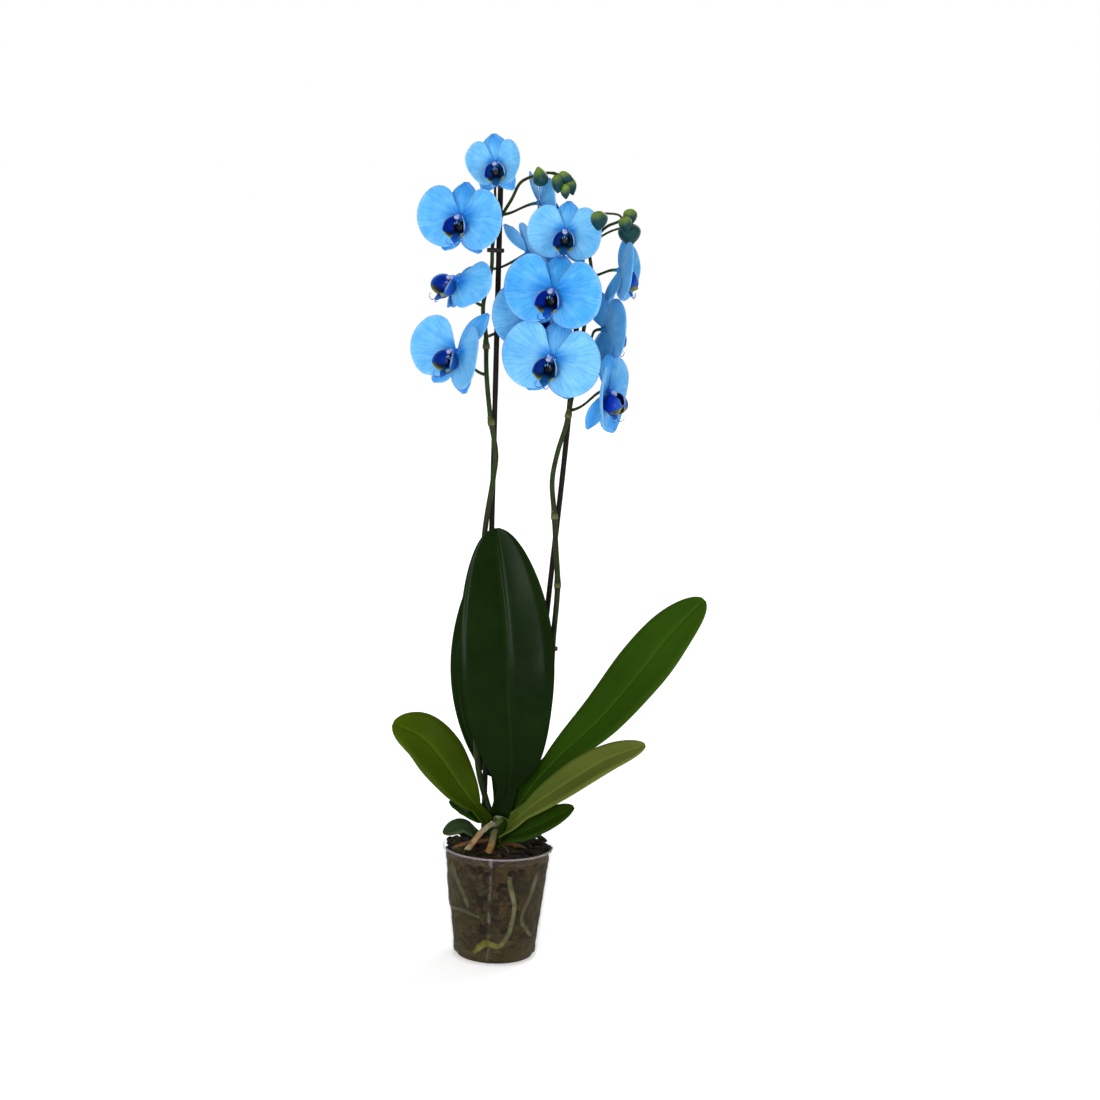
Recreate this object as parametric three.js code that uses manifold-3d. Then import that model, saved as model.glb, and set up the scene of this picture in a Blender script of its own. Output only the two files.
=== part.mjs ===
// Moth orchid in a clear nursery pot: two staked spikes of blue blooms over broad leaves.
// Millimetres, +Z up. The origin is the middle of the pot's foot, on the surface, and the front is -Y.

import * as THREE from "three";
import { mergeVertices } from "three/addons/utils/BufferGeometryUtils.js";
import Module from "manifold-3d";

const wasm = await Module();
wasm.setup();

const vec = (x, y, z) => new THREE.Vector3(x, y, z);
const radians = THREE.MathUtils.degToRad;
const lerp = THREE.MathUtils.lerp;

// Driving dimensions
const GAP = 0.35; // clear space between neighbouring pieces
const POT = {
  rimRadius: 60, footRadius: 46.8, height: 120.5, wall: 1.2, floor: 1.6,
  collarDrop: 8.5, collarStep: 1.2, bead: 2.4, footStep: 9, sides: 28,
};
const DRAIN = { count: 6, radius: 3.5, ring: 31, sides: 6 };
const BARK = { rimTop: 112, crownTop: 118, relief: 1.6, chips: 6, levels: 3 };
const CROWN = { radius: 9, bottom: 106, top: 152 };
const BLOOM = {
  hub: 4, petal: 50, petalSpread: [-84, 64], petalThickness: 0.9, claw: 0.09,
  dorsal: [38, 30], lateral: [43, 27], sepalThickness: 1.0, sepalBehind: 3, lateralAngle: 150,
  columnLength: 10, columnRadius: 2.6,
};
const LIP = {
  width: 27.5, height: 29, middle: -6.5, throat: [-5.2, 6.2], depth: 8.5, span: 138, thickness: 1.3,
};
const STEM = { radius: 3.0, tip: 1.4, sides: 6, steps: 32 };
const PEDICEL = { radius: 1.5, sides: 4, steps: 4 };
const STAKE = { radius: 2.9, sides: 7, steps: 6, foot: 22 };
const CLIP = { wall: 1.1, height: 4.2, tab: 4.5 };

// Small random numbers that come out the same every time
function seeded(seed) {
  let state = seed;
  return () => {
    state = (state * 1664525 + 1013904223) % 4294967296;
    return state / 4294967296;
  };
}

// Solids and meshes
function toSolid(geometry) {
  const bare = new THREE.BufferGeometry();
  bare.setAttribute("position", geometry.getAttribute("position"));
  bare.setIndex(geometry.index);
  const merged = mergeVertices(bare, 1e-4);
  const corners = merged.index.array;
  const triangles = [];
  for (let i = 0; i < corners.length; i += 3) {
    const [a, b, c] = corners.subarray(i, i + 3);
    if (a !== b && b !== c && c !== a) triangles.push(a, b, c);
  }
  return new wasm.Manifold(new wasm.Mesh({
    numProp: 3,
    vertProperties: new Float32Array(merged.getAttribute("position").array),
    triVerts: new Uint32Array(triangles),
  }));
}

function fuse(geometries) {
  return geometries.map(toSolid).reduce((whole, piece) => whole.add(piece));
}

function toGeometry(solid) {
  const mesh = solid.getMesh();
  const geometry = new THREE.BufferGeometry();
  geometry.setAttribute("position", new THREE.BufferAttribute(mesh.vertProperties, 3));
  geometry.setIndex(new THREE.BufferAttribute(mesh.triVerts, 1));
  return geometry;
}

const material = (color, roughness) => new THREE.MeshStandardMaterial({ color, roughness, metalness: 0 });
const MATERIALS = {
  pot: material(0xbfc4bd, 0.2),
  bark: material(0x54412f, 0.95),
  root: material(0x8d9a6c, 0.7),
  leaf: material(0x24461a, 0.35),
  stem: material(0x35491a, 0.5),
  stake: material(0x17110d, 0.6),
  clip: material(0x0b0b0b, 0.4),
  petal: material(0x63a9ee, 0.55),
  lip: material(0x1428a8, 0.4),
  column: material(0xd6cdea, 0.45),
};

function piece(name, solid, finish) {
  const mesh = new THREE.Mesh(toGeometry(solid), MATERIALS[finish]);
  mesh.name = name;
  return mesh;
}

// A thin blade over a grid of points in its middle: both faces split every cell the same way
function blade(grid, thickness) {
  const rows = grid.length;
  const columns = grid[0].length;
  const at = (i, j) => grid[THREE.MathUtils.clamp(i, 0, rows - 1)][THREE.MathUtils.clamp(j, 0, columns - 1)];
  const positions = [];
  for (const side of [1, -1]) {
    for (let i = 0; i < rows; i++) {
      for (let j = 0; j < columns; j++) {
        const across = at(i, j + 1).clone().sub(at(i, j - 1));
        const along = at(i + 1, j).clone().sub(at(i - 1, j));
        const lift = across.cross(along).normalize().multiplyScalar((side * thickness(i, j)) / 2);
        positions.push(...grid[i][j].clone().add(lift));
      }
    }
  }
  const front = (i, j) => i * columns + j;
  const back = (i, j) => front(i, j) + rows * columns;
  const index = [];
  for (let i = 0; i < rows - 1; i++) {
    for (let j = 0; j < columns - 1; j++) {
      index.push(front(i, j), front(i, j + 1), front(i + 1, j + 1));
      index.push(front(i, j), front(i + 1, j + 1), front(i + 1, j));
      index.push(back(i, j), back(i + 1, j + 1), back(i, j + 1));
      index.push(back(i, j), back(i + 1, j), back(i + 1, j + 1));
    }
  }
  const rim = [];
  for (let j = 0; j < columns - 1; j++) rim.push([0, j]);
  for (let i = 0; i < rows - 1; i++) rim.push([i, columns - 1]);
  for (let j = columns - 1; j > 0; j--) rim.push([rows - 1, j]);
  for (let i = rows - 1; i > 0; i--) rim.push([i, 0]);
  rim.forEach((here, k) => {
    const next = rim[(k + 1) % rim.length];
    index.push(front(...here), back(...here), back(...next));
    index.push(front(...here), back(...next), front(...next));
  });
  const geometry = new THREE.BufferGeometry();
  geometry.setAttribute("position", new THREE.Float32BufferAttribute(positions, 3));
  geometry.setIndex(index);
  return geometry;
}

// A solid stalk along a curve, with a width that may change from 0 to 1 along it
function stalk(curve, radius, sides, steps, widthAt = () => 1) {
  const section = new THREE.Shape();
  for (let k = 0; k < sides; k++) {
    const angle = (2 * Math.PI * k) / sides;
    const corner = [radius * Math.cos(angle), radius * Math.sin(angle)];
    if (k === 0) section.moveTo(...corner);
    else section.lineTo(...corner);
  }
  const geometry = new THREE.ExtrudeGeometry(section, { steps, extrudePath: curve });
  const centres = curve.getSpacedPoints(steps);
  const positions = geometry.getAttribute("position");
  const point = new THREE.Vector3();
  for (let i = 0; i < positions.count; i++) {
    point.fromBufferAttribute(positions, i);
    const nearest = centres.reduce((best, centre, k) =>
      centre.distanceToSquared(point) < centres[best].distanceToSquared(point) ? k : best, 0);
    point.sub(centres[nearest]).multiplyScalar(widthAt(nearest / steps)).add(centres[nearest]);
    positions.setXYZ(i, ...point);
  }
  return geometry;
}

const smooth = (points) => new THREE.CatmullRomCurve3(points, false, "centripetal");

// A turned shape along an axis from one point towards another
function turned(profile, sides, from, towards) {
  const geometry = new THREE.LatheGeometry(profile.map(([r, h]) => new THREE.Vector2(r, h)), sides);
  const axis = towards.clone().sub(from).normalize();
  geometry.applyQuaternion(new THREE.Quaternion().setFromUnitVectors(vec(0, 1, 0), axis));
  return geometry.translate(...from);
}

// The upright lathe that the pot and its filling share, turned from Y up to Z up
function lathe(profile) {
  const points = profile.map(([r, z]) => new THREE.Vector2(r, z));
  return new THREE.LatheGeometry(points, POT.sides).rotateX(Math.PI / 2);
}

// Clear pot
const collarZ = POT.height - POT.collarDrop;
function potOuter(z) {
  return lerp(POT.footRadius, POT.rimRadius - POT.collarStep, (z - POT.footStep) / (collarZ - POT.footStep));
}
const potInner = (z) => potOuter(Math.max(z, POT.footStep)) - POT.wall;

function buildPot() {
  const foot = POT.footRadius - 1.2;
  const rim = POT.rimRadius;
  const profile = [
    [0, 0], [foot - 1.2, 0], [foot, 1.2], [foot, POT.footStep - 1], [POT.footRadius, POT.footStep],
    [potOuter(collarZ), collarZ], [rim - 1.3, collarZ + 1.2], [rim - 1.1, POT.height - POT.bead],
    [rim, POT.height - POT.bead + 0.5], [rim - 0.4, POT.height], [rim - 1.9, POT.height],
    [rim - 2.5, collarZ + 1.2], [potInner(collarZ), collarZ - 0.6],
    [potInner(POT.footStep), POT.footStep + 0.6], [foot - POT.wall, POT.footStep - 0.4],
    [foot - POT.wall, POT.floor], [0, POT.floor],
  ];
  let pot = toSolid(lathe(profile));
  for (let k = 0; k < DRAIN.count; k++) {
    const angle = (2 * Math.PI * (k + 0.5)) / DRAIN.count;
    const hole = new THREE.CylinderGeometry(DRAIN.radius, DRAIN.radius, 4 * POT.floor, DRAIN.sides);
    hole.rotateX(Math.PI / 2).translate(DRAIN.ring * Math.cos(angle), DRAIN.ring * Math.sin(angle), 0);
    pot = pot.subtract(toSolid(hole));
  }
  return pot;
}

// Roots: aerial ones over the rim of the bark, and long ones that run down inside the clear wall
const onWall = (radius) => ([angle, z]) => {
  const reach = potInner(z) - GAP - radius - 1.1;
  return vec(reach * Math.cos(radians(angle)), reach * Math.sin(radians(angle)), z);
};
const ROOTS = [
  { radius: 3.6, over: [vec(-2, -5, 144), vec(-7, -15, 150), vec(-18, -21, 146), vec(-26, -24, 133),
      vec(-33, -27, 119)],
    wall: [[-148, 104], [-142, 92], [-130, 76], [-124, 62]] },
  { radius: 4.2, over: [vec(-1, -5, 136), vec(-4, -16, 138), vec(-6, -25, 128), vec(-10, -32, 117),
      vec(-12, -38, 108)],
    wall: [] },
  { radius: 2.7, over: [vec(3, -5, 120), vec(12, -24, 116), vec(15, -42, 108)],
    wall: [[-74, 96], [-66, 68], [-67, 50], [-72, 34], [-84, 22], [-100, 26], [-118, 13]] },
  { radius: 2.3, over: [vec(-6, 2, 118), vec(-28, 8, 113), vec(-44, 10, 104)],
    wall: [[172, 88], [178, 70], [194, 56], [228, 58], [250, 54]] },
  { radius: 2.5, over: [vec(6, 1, 122), vec(26, -4, 119), vec(40, -18, 110)],
    wall: [[-38, 98], [-44, 78], [-54, 52], [-42, 36], [-30, 28]] },
  { radius: 2.6, over: [vec(3, 6, 120), vec(14, 26, 116), vec(24, 40, 108)],
    wall: [[52, 94], [66, 72], [58, 46], [84, 28], [110, 20]] },
  { radius: 2.4, over: [vec(-5, 4, 119), vec(-27, 17, 115), vec(-40, 24, 107)],
    wall: [[140, 92], [122, 68], [136, 44], [126, 24]] },
];

function buildCrown(grow) {
  const scars = [];
  for (let z = CROWN.bottom; z < CROWN.top - 6; z += 8) {
    scars.push([CROWN.radius - 1.4, z], [CROWN.radius, z + 5]);
  }
  const profile = [[0, CROWN.bottom - grow], ...scars.map(([r, z]) => [r + grow, z]), [4 + grow, CROWN.top],
    [0, CROWN.top + grow]];
  profile[1][1] -= grow;
  const stem = turned(profile, 8, vec(0, 0, 0), vec(0, 0, 1));
  const roots = ROOTS.map(({ radius, over, wall }) => {
    const curve = smooth([...over, ...wall.map(onWall(radius))]);
    const steps = wall.length ? 9 : 5;
    return stalk(curve, radius + grow, 5, steps, (t) => (t > 0.9 && wall.length ? 0.7 : 1));
  });
  return fuse([stem, ...roots]);
}

// Leaves: a spine, a width and the way that the upper face looks
const LEAVES = [
  { name: "leaf_1_upright", width: 100, face: vec(0.05, -1, 0.12), neck: 0.11, base: 15, fold: 0.1,
    spine: [vec(1, -6, 154.5), vec(8, -10, 186), vec(11.5, -14, 215), vec(6, -18, 280), vec(1, -18, 350),
      vec(-14, -11, 464)] },
  { name: "leaf_2_rear", width: 84, face: vec(-0.1, -1, 0.15), neck: 0.16, base: 9, fold: 0.12,
    spine: [vec(1, 10, 149), vec(0, 22, 168), vec(-8, 31, 215), vec(-17, 34, 300), vec(-14, 28, 432)] },
  { name: "leaf_3_long_right", width: 66, face: vec(-0.52, -0.74, 0.43), neck: 0.1, base: 24, fold: 0.16,
    widest: 0.66, spine: [vec(10.6, -1, 148), vec(34, -3, 186), vec(63, -4, 221), vec(107, -5, 267),
      vec(147, -4, 319), vec(177, -2, 359), vec(210, 0, 395)] },
  { name: "leaf_4_low_right", width: 46, face: vec(-0.5, -0.5, 0.7), neck: 0.12, base: 16, fold: 0.18,
    widest: 0.55, spine: [vec(8.4, -10.6, 140), vec(20, -27, 156), vec(40, -39, 177), vec(75, -51, 206),
      vec(111, -62, 232), vec(150, -70, 250)] },
  { name: "leaf_5_small_right", width: 34, face: vec(-0.4, -0.5, 0.77), neck: 0.15, base: 10, fold: 0.25,
    widest: 0.55, spine: [vec(3.6, -11, 125.5), vec(14, -30, 138), vec(31, -44, 149), vec(52, -56, 163),
      vec(79, -64, 180)] },
  { name: "leaf_6_left", width: 62, face: vec(0.5, -0.72, 0.48), neck: 0.12, base: 15, fold: 0.14,
    widest: 0.58, spine: [vec(-11.4, -4, 144), vec(-24, -9, 162), vec(-43, -15, 189), vec(-65, -20, 220),
      vec(-85, -24, 241), vec(-115, -26, 254)] },
  { name: "leaf_7_old_left", width: 28, face: vec(0.1, -0.25, 1), neck: 0.15, base: 9, fold: 0.15,
    spine: [vec(-11.2, -4, 124), vec(-24, -7, 138), vec(-40, -10, 149), vec(-58, -16, 142)] },
  { name: "leaf_8_low_left", width: 32, face: vec(0.2, -0.4, 0.9), neck: 0.15, base: 8, fold: 0.15,
    spine: [vec(-11, 1.5, 138), vec(-24, 3, 153), vec(-38, 7, 161), vec(-54, 10, 164)] },
];

function buildLeaf({ spine, width, face, neck, base, fold, widest = 0.5 }) {
  const rows = 8;
  const half = 2;
  const curve = smooth(spine);
  const skew = Math.log(0.5) / Math.log(widest);
  const grid = [];
  for (let i = -1; i <= rows; i++) {
    const along = i < 0 ? 0 : (1 - Math.cos((Math.PI * i) / rows)) / 2;
    const t = i < 0 ? 0 : lerp(neck, 1, along);
    const shape = Math.sin(Math.PI * Math.min(along, 0.998) ** skew) ** 0.6;
    const reach = Math.max((base / 2) * (1 - along), (width / 2) * shape);
    const tangent = curve.getTangentAt(t);
    const side = tangent.clone().cross(face).normalize();
    const up = side.clone().cross(tangent).normalize();
    const row = [];
    for (let j = -half; j <= half; j++) {
      const s = Math.abs(j) / half;
      const rise = s * reach * fold + (i <= 0 ? 2 * s : 0);
      row.push(curve.getPointAt(t).addScaledVector(side, (j / half) * reach).addScaledVector(up, rise));
    }
    grid.push(row);
  }
  return toSolid(blade(grid, (i, j) => lerp(2.8, 1.3, Math.abs(j - half) / half)));
}

// Stakes, and the spike stems that wind up beside them
const STAKES = {
  left: smooth([vec(-16, 23, STAKE.foot), vec(-18, 15.5, 330), vec(-22, 8.5, 824)]),
  right: smooth([vec(20, 28, STAKE.foot), vec(44, 20, 383), vec(57, 15, 562), vec(66, 10, 748)]),
};
const STEMS = {
  left: smooth([vec(-7.5, 9, 147), vec(-15, 11, 167), vec(-25, 9, 206), vec(-29, 8, 300), vec(-27, 7, 400),
    vec(-26, 7, 458), vec(-19, 5, 515), vec(-17, 4.5, 540), vec(-24, 5.5, 578), vec(-30, 8, 625),
    vec(-32, 8, 665), vec(-36, 8, 695), vec(-28.5, 7.5, 735), vec(-28, 9.5, 762), vec(-21, 16, 788),
    vec(-10, 14, 808), vec(-1, 8, 825), vec(14, 3, 832), vec(30, 0, 835), vec(40, -1, 831)]),
  right: smooth([vec(8.2, 7.6, 144), vec(20, 15, 178), vec(38, 17, 232), vec(49, 16, 290), vec(51, 15, 345),
    vec(53.5, 12, 402), vec(50, 9, 445), vec(47, 9, 480), vec(43.5, 9, 515), vec(48, 8, 545), vec(56, 6, 575),
    vec(61, 7, 605), vec(68, 11, 655), vec(74, 13, 705), vec(76.5, 13, 735), vec(74, 12, 758),
    vec(83, 10, 775.5), vec(91.5, 8, 783.5), vec(102, 5, 788), vec(109, 3, 793), vec(113.5, 1, 797.5)]),
};

// Points on the straight runs that a stalk is made of: at a height, and at a part of its length
function heightOn(curve, z, steps = STEM.steps) {
  const points = curve.getSpacedPoints(steps);
  const above = points.findIndex((p) => p.z > z);
  const [low, high] = [points[above - 1], points[above]];
  return low.clone().lerp(high, (z - low.z) / (high.z - low.z));
}

function alongStem(side, t) {
  const points = STEMS[side].getSpacedPoints(STEM.steps);
  const k = Math.min(Math.floor(t * STEM.steps), STEM.steps - 1);
  return points[k].clone().lerp(points[k + 1], t * STEM.steps - k);
}

// Blooms: where the hub is, how it is turned (degrees: to the right, up, clockwise), and its form.
// A petal that differs from its pair has its own cup, spread, droop or fold, and a dorsal may twist.
const BLOOMS = [
  { name: "bloom_left_1", spike: "left", node: 624, at: vec(-61, -17, 647),
    turn: -35, lift: 0, roll: 15, size: 1.0, cup: 24, left: { spread: [-99, 64], fold: 24 },
    reflex: 12, lateralReflex: -6, lean: 22, dorsal: [50, 22], leave: vec(-1, 0.1, 0.1) },
  { name: "bloom_left_2", spike: "left", node: 664, at: vec(16, 18, 690),
    turn: 25, lift: 0, roll: -4, size: 0.96, cup: 6, reflex: 12, leave: vec(0.3, 1, 0) },
  { name: "bloom_left_3", spike: "left", node: 696, at: vec(-63, -11, 721),
    turn: -42, lift: 10, roll: 25, size: 0.97, cup: -4, left: { cup: -48, spread: [-70, 10] },
    right: { droop: 0.3 }, reflex: 40, lateralReflex: 26, lean: 10, dorsal: [30, 20],
    leave: vec(-1, 0.1, 0.2) },
  { name: "bloom_left_4", spike: "left", node: 735, at: vec(9, 58, 756),
    turn: 100, lift: 32, roll: 0, size: 1.0, cup: 8, reflex: 8, twist: 16, leave: vec(0.2, 1, 0) },
  { name: "bloom_left_5", spike: "left", node: 766, at: vec(-61.5, -12, 785.5),
    turn: -16, lift: -5, roll: 4, size: 0.94, cup: 6, reflex: 14, leave: vec(-0.6, -0.5, 0.5) },
  { name: "bloom_left_6", spike: "left", node: 792, at: vec(19, 34, 807),
    turn: 92, lift: 9, roll: 0, size: 0.86, cup: 22, left: { spread: [-84, 45] },
    reflex: 6, twist: -18, leave: vec(0.6, 0.7, 0.1) },
  { name: "bloom_left_7", spike: "left", node: 785, at: vec(-27, -22, 840),
    turn: -4, lift: -6, roll: -6, size: 0.72, cup: 38, reflex: 8, leave: vec(-0.4, 0.35, 1) },
  { name: "bloom_right_1", spike: "right", node: 590, at: vec(98, 4, 611),
    turn: 42, lift: -8, roll: -6, size: 1.0, cup: -18, left: { cup: 38 },
    reflex: 10, lateralReflex: 6, lean: 14, leave: vec(1, 0.2, 0.1) },
  { name: "bloom_right_2", spike: "right", node: 640, at: vec(38, -16, 644),
    turn: -14, lift: -6, roll: 11, size: 1.07, cup: 4, reflex: 20, leave: vec(-0.4, -1, 0.2) },
  { name: "bloom_right_3", spike: "right", node: 662, at: vec(93.5, 50, 677),
    turn: 104, lift: 2, roll: 0, size: 1.0, cup: 13, reflex: 8, twist: 5, leave: vec(1, 0.5, 0.1) },
  { name: "bloom_right_4", spike: "right", node: 712, at: vec(37, -30, 713),
    turn: -14, lift: -6, roll: 8, size: 1.05, cup: 4, reflex: 30, leave: vec(-0.4, -1, 0.1) },
  { name: "bloom_right_5", spike: "right", node: 731, at: vec(106, 6, 738),
    turn: 84, lift: -4, roll: 0, size: 0.9, cup: 21, reflex: 6, leave: vec(1, 0, 0.2) },
  { name: "bloom_right_6", spike: "right", node: 762, at: vec(48, -8, 775.2),
    turn: -6, lift: -8, roll: 3, size: 0.82, cup: 20,
    reflex: 18, lateralReflex: 3, leave: vec(-0.6, -0.8, 0.4) },
];

function facing({ turn, lift }) {
  const a = radians(turn);
  const e = radians(lift);
  return vec(Math.sin(a) * Math.cos(e), -Math.cos(a) * Math.cos(e), Math.sin(e));
}

function bloomTurn(bloom) {
  const forward = facing(bloom);
  const right = vec(Math.cos(radians(bloom.turn)), Math.sin(radians(bloom.turn)), 0);
  const up = forward.clone().cross(right);
  const basis = new THREE.Matrix4().makeBasis(right, up, forward);
  return basis.multiply(new THREE.Matrix4().makeRotationZ(-radians(bloom.roll)));
}

// Broad petal: a fan of rays round its narrow claw, lying to the right or left of the hub
function petal(side, { cup, roll, left, right }) {
  const own = { cup, spread: BLOOM.petalSpread, droop: 0, fold: BLOOM.petal, ...(side < 0 ? left : right) };
  const rays = 6;
  const rings = [BLOOM.claw, 0.6, 1];
  const tilt = radians(own.cup);
  const upright = vec(-Math.sin(radians(roll)), Math.cos(radians(roll)), 0);
  const grid = rings.map((reach) => {
    const row = [];
    for (let k = 0; k <= rays; k++) {
      const angle = radians(lerp(...own.spread, k / rays));
      const short = 1 - own.droop * THREE.MathUtils.smoothstep(-angle, -0.35, 0.52) * reach;
      const radius = BLOOM.petal * reach * short * Math.cos(0.9 * angle) ** 0.45;
      const out = radius * Math.cos(angle);
      const wave = 1.2 * reach ** 2 * Math.sin(2.5 * angle + side) - 1.4 * reach ** 3;
      const point = vec(side * (out * Math.cos(tilt) - wave * Math.sin(tilt)), radius * Math.sin(angle),
        out * Math.sin(tilt) + wave * Math.cos(tilt) + 0.8);
      const below = Math.max(0, -own.fold - point.dot(upright));
      row.push(point.addScaledVector(upright, 0.7 * below).add(vec(0, 0, -0.85 * below)));
    }
    return row;
  });
  return blade(grid, (i) => lerp(1.6, BLOOM.petalThickness, i / 2));
}

// Sepal: a narrower blade that grows along +Y behind the petals
function sepal([length, width], arch) {
  const rows = 4;
  const grid = [];
  for (let i = 0; i <= rows; i++) {
    const t = i / rows;
    const reach = (width / 2) * Math.max(Math.sin(Math.PI * t ** 1.15) ** 0.7, i ? 0.3 : 0.1);
    const height = arch * Math.sin(Math.PI * t);
    grid.push([vec(-reach, 1.5 + length * t, height), vec(reach, 1.5 + length * t, height)]);
  }
  return blade(grid, () => BLOOM.sepalThickness);
}

function buildTepals(bloom) {
  const { reflex, lateralReflex = reflex / 2, lean = 0, twist = 0 } = bloom;
  const dorsal = sepal(bloom.dorsal ?? BLOOM.dorsal, 1.5)
    .rotateY(radians(twist)).rotateX(-radians(reflex)).rotateZ(-radians(lean));
  const laterals = [-1, 1].map((side) => sepal(BLOOM.lateral, 1.5)
    .rotateX(-radians(4 + lateralReflex)).rotateZ(-side * radians(BLOOM.lateralAngle)));
  const sepals = [dorsal, ...laterals].map((shape) => shape.translate(0, 0, -BLOOM.sepalBehind));
  const hub = new THREE.IcosahedronGeometry(BLOOM.hub, 0).translate(0, 0, -1.4);
  return fuse([hub, petal(-1, bloom), petal(1, bloom), ...sepals]);
}

function buildColumn() {
  const curve = smooth([vec(0, 1.6, 3.2), vec(0, 1.2, 8), vec(0, -0.6, 3.2 + BLOOM.columnLength)]);
  return toSolid(stalk(curve, BLOOM.columnRadius, 5, 2, (t) => (t === 1 ? 0.6 : 1)));
}

// Lip: one bowl-like sheet in three lobes round its throat, two standing up beside the column and one
// reaching down to a pair of curled tendrils
function buildLip() {
  const rays = 8;
  const [throatY, throatZ] = LIP.throat;
  const grid = [0.16, 0.62, 1].map((reach) => {
    const row = [];
    for (let k = 0; k <= rays; k++) {
      const angle = radians(lerp(-LIP.span, LIP.span, k / rays));
      const notch = 1 - 0.08 * reach * Math.exp(-(((Math.abs(angle) - 0.75) / 0.25) ** 2));
      const rimY = LIP.middle - (LIP.height / 2) * Math.cos(angle) * notch;
      row.push(vec(reach * (LIP.width / 2) * Math.sin(angle) * notch, lerp(throatY, rimY, reach),
        throatZ + LIP.depth * reach ** 1.5));
    }
    return row;
  });
  const tendrils = [-1, 1].map((side) => {
    const curve = smooth([vec(side * 0.6, -18.6, 13), vec(side * 4, -23, 14.6), vec(side * 6.4, -20, 15.6)]);
    return stalk(curve, 0.7, 3, 2);
  });
  return fuse([blade(grid, () => LIP.thickness), ...tendrils]);
}

function buildBloom(bloom) {
  const group = new THREE.Group();
  group.add(piece(`${bloom.name}_petals`, buildTepals(bloom), "petal"));
  group.add(piece(`${bloom.name}_lip`, buildLip(), "lip"));
  group.add(piece(`${bloom.name}_column`, buildColumn(), "column"));
  group.position.copy(bloom.at);
  group.quaternion.setFromRotationMatrix(bloomTurn(bloom));
  group.scale.setScalar(bloom.size);
  return group;
}

// Flower stalks and buds, which grow from the stem in one piece
function pedicel(bloom) {
  const start = heightOn(STEMS[bloom.spike], bloom.node);
  const back = facing(bloom).negate();
  const end = bloom.at.clone().addScaledVector(back, bloom.size * (BLOOM.hub + 1.2) + GAP);
  const span = start.distanceTo(end) * 0.45;
  const leave = bloom.leave.clone().normalize();
  const curve = new THREE.CubicBezierCurve3(start, start.clone().addScaledVector(leave, span),
    end.clone().addScaledVector(back, span * 0.8), end);
  return stalk(curve, PEDICEL.radius, PEDICEL.sides, PEDICEL.steps);
}

const BUDS = {
  left: [
    { joint: 0.965, at: vec(21.6, -10, 822), towards: vec(16.6, -12, 839), size: [8, 21] },
    { joint: 0.985, at: vec(37, -6, 831), towards: vec(38, -8, 814), size: [6.2, 18] },
    { joint: 0.985, at: vec(39, -4, 832.5), towards: vec(53, -5, 828.5), size: [4.8, 16] },
    { joint: 0.997, at: vec(49, 2, 829), towards: vec(54, 4, 813), size: [6, 17] },
    { joint: 0.997, at: vec(45, -4, 820.5), towards: vec(47, -6, 806.5), size: [5, 13] },
  ],
  right: [
    { joint: 0.985, via: vec(100, -20, 793.5), at: vec(81.5, -38, 794.5), towards: vec(80.5, -38, 774),
      size: [8.6, 22] },
    { joint: 0.99, at: vec(115.5, 2, 797), towards: vec(117, 4, 785), size: [4.3, 13] },
    { joint: 0.985, at: vec(109.5, -1, 787), towards: vec(112, -1, 776), size: [6, 12.5] },
    { joint: 0.93, at: vec(112.5, 1, 784), towards: vec(115.5, 2, 765), size: [12, 21.5] },
  ],
};

function bud(side, { joint, via, at, towards, size: [radius, length] }) {
  const from = alongStem(side, joint);
  const axis = towards.clone().sub(at).normalize();
  const base = at.clone().addScaledVector(axis, -length * 0.1);
  const tip = base.clone().addScaledVector(axis, length);
  const outline = [[0, 0], [0.62, 0.16], [1, 0.45], [0.78, 0.76], [0, 1]];
  const profile = outline.map(([r, h]) => [r * radius, h * length]);
  const middle = via ?? from.clone().lerp(base, 0.5).add(vec(0, 0, 1));
  const curve = smooth([from, middle, base.clone().addScaledVector(axis, length * 0.3)]);
  return [turned(profile, 6, base, tip), stalk(curve, 1.1, 3, 2)];
}

// Papery bract rings where the stem steps from joint to joint
const RINGS = { left: [425, 575, 655], right: [405, 478, 586] };

function ring(curve, z) {
  const middle = heightOn(curve, z);
  const above = heightOn(curve, z + 7);
  return turned([[0, -5], [3.6, -5], [4.3, 1], [3.6, 5], [0, 5]], 5, middle, above);
}

function buildSpike(side) {
  const taper = (t) => lerp(1.1, STEM.tip / STEM.radius, t ** 2);
  const stem = stalk(STEMS[side], STEM.radius, STEM.sides, STEM.steps, taper);
  const rings = RINGS[side].map((z) => ring(STEMS[side], z));
  const stalks = BLOOMS.filter(({ spike }) => spike === side).map(pedicel);
  const buds = BUDS[side].flatMap((entry) => bud(side, entry));
  return fuse([stem, ...rings, ...stalks, ...buds]);
}

function buildStake(side, grow = 0) {
  const pointed = (t) => (t === 0 && !grow ? 0.4 : 1);
  return toSolid(stalk(STAKES[side], STAKE.radius + grow, STAKE.sides, STAKE.steps, pointed));
}

// Clip: one loop round stem and stake, with two finger tabs at its front
const CLIPS = [
  { name: "clip_left_low", side: "left", z: 340 }, { name: "clip_left_high", side: "left", z: 754 },
  { name: "clip_right_low", side: "right", z: 334 }, { name: "clip_right_high", side: "right", z: 612 },
];

function loopShape(length, radius) {
  const shape = new THREE.Shape();
  shape.absarc(length, 0, radius, -Math.PI / 2, Math.PI / 2);
  shape.absarc(0, 0, radius, Math.PI / 2, (3 * Math.PI) / 2);
  return shape;
}

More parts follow.
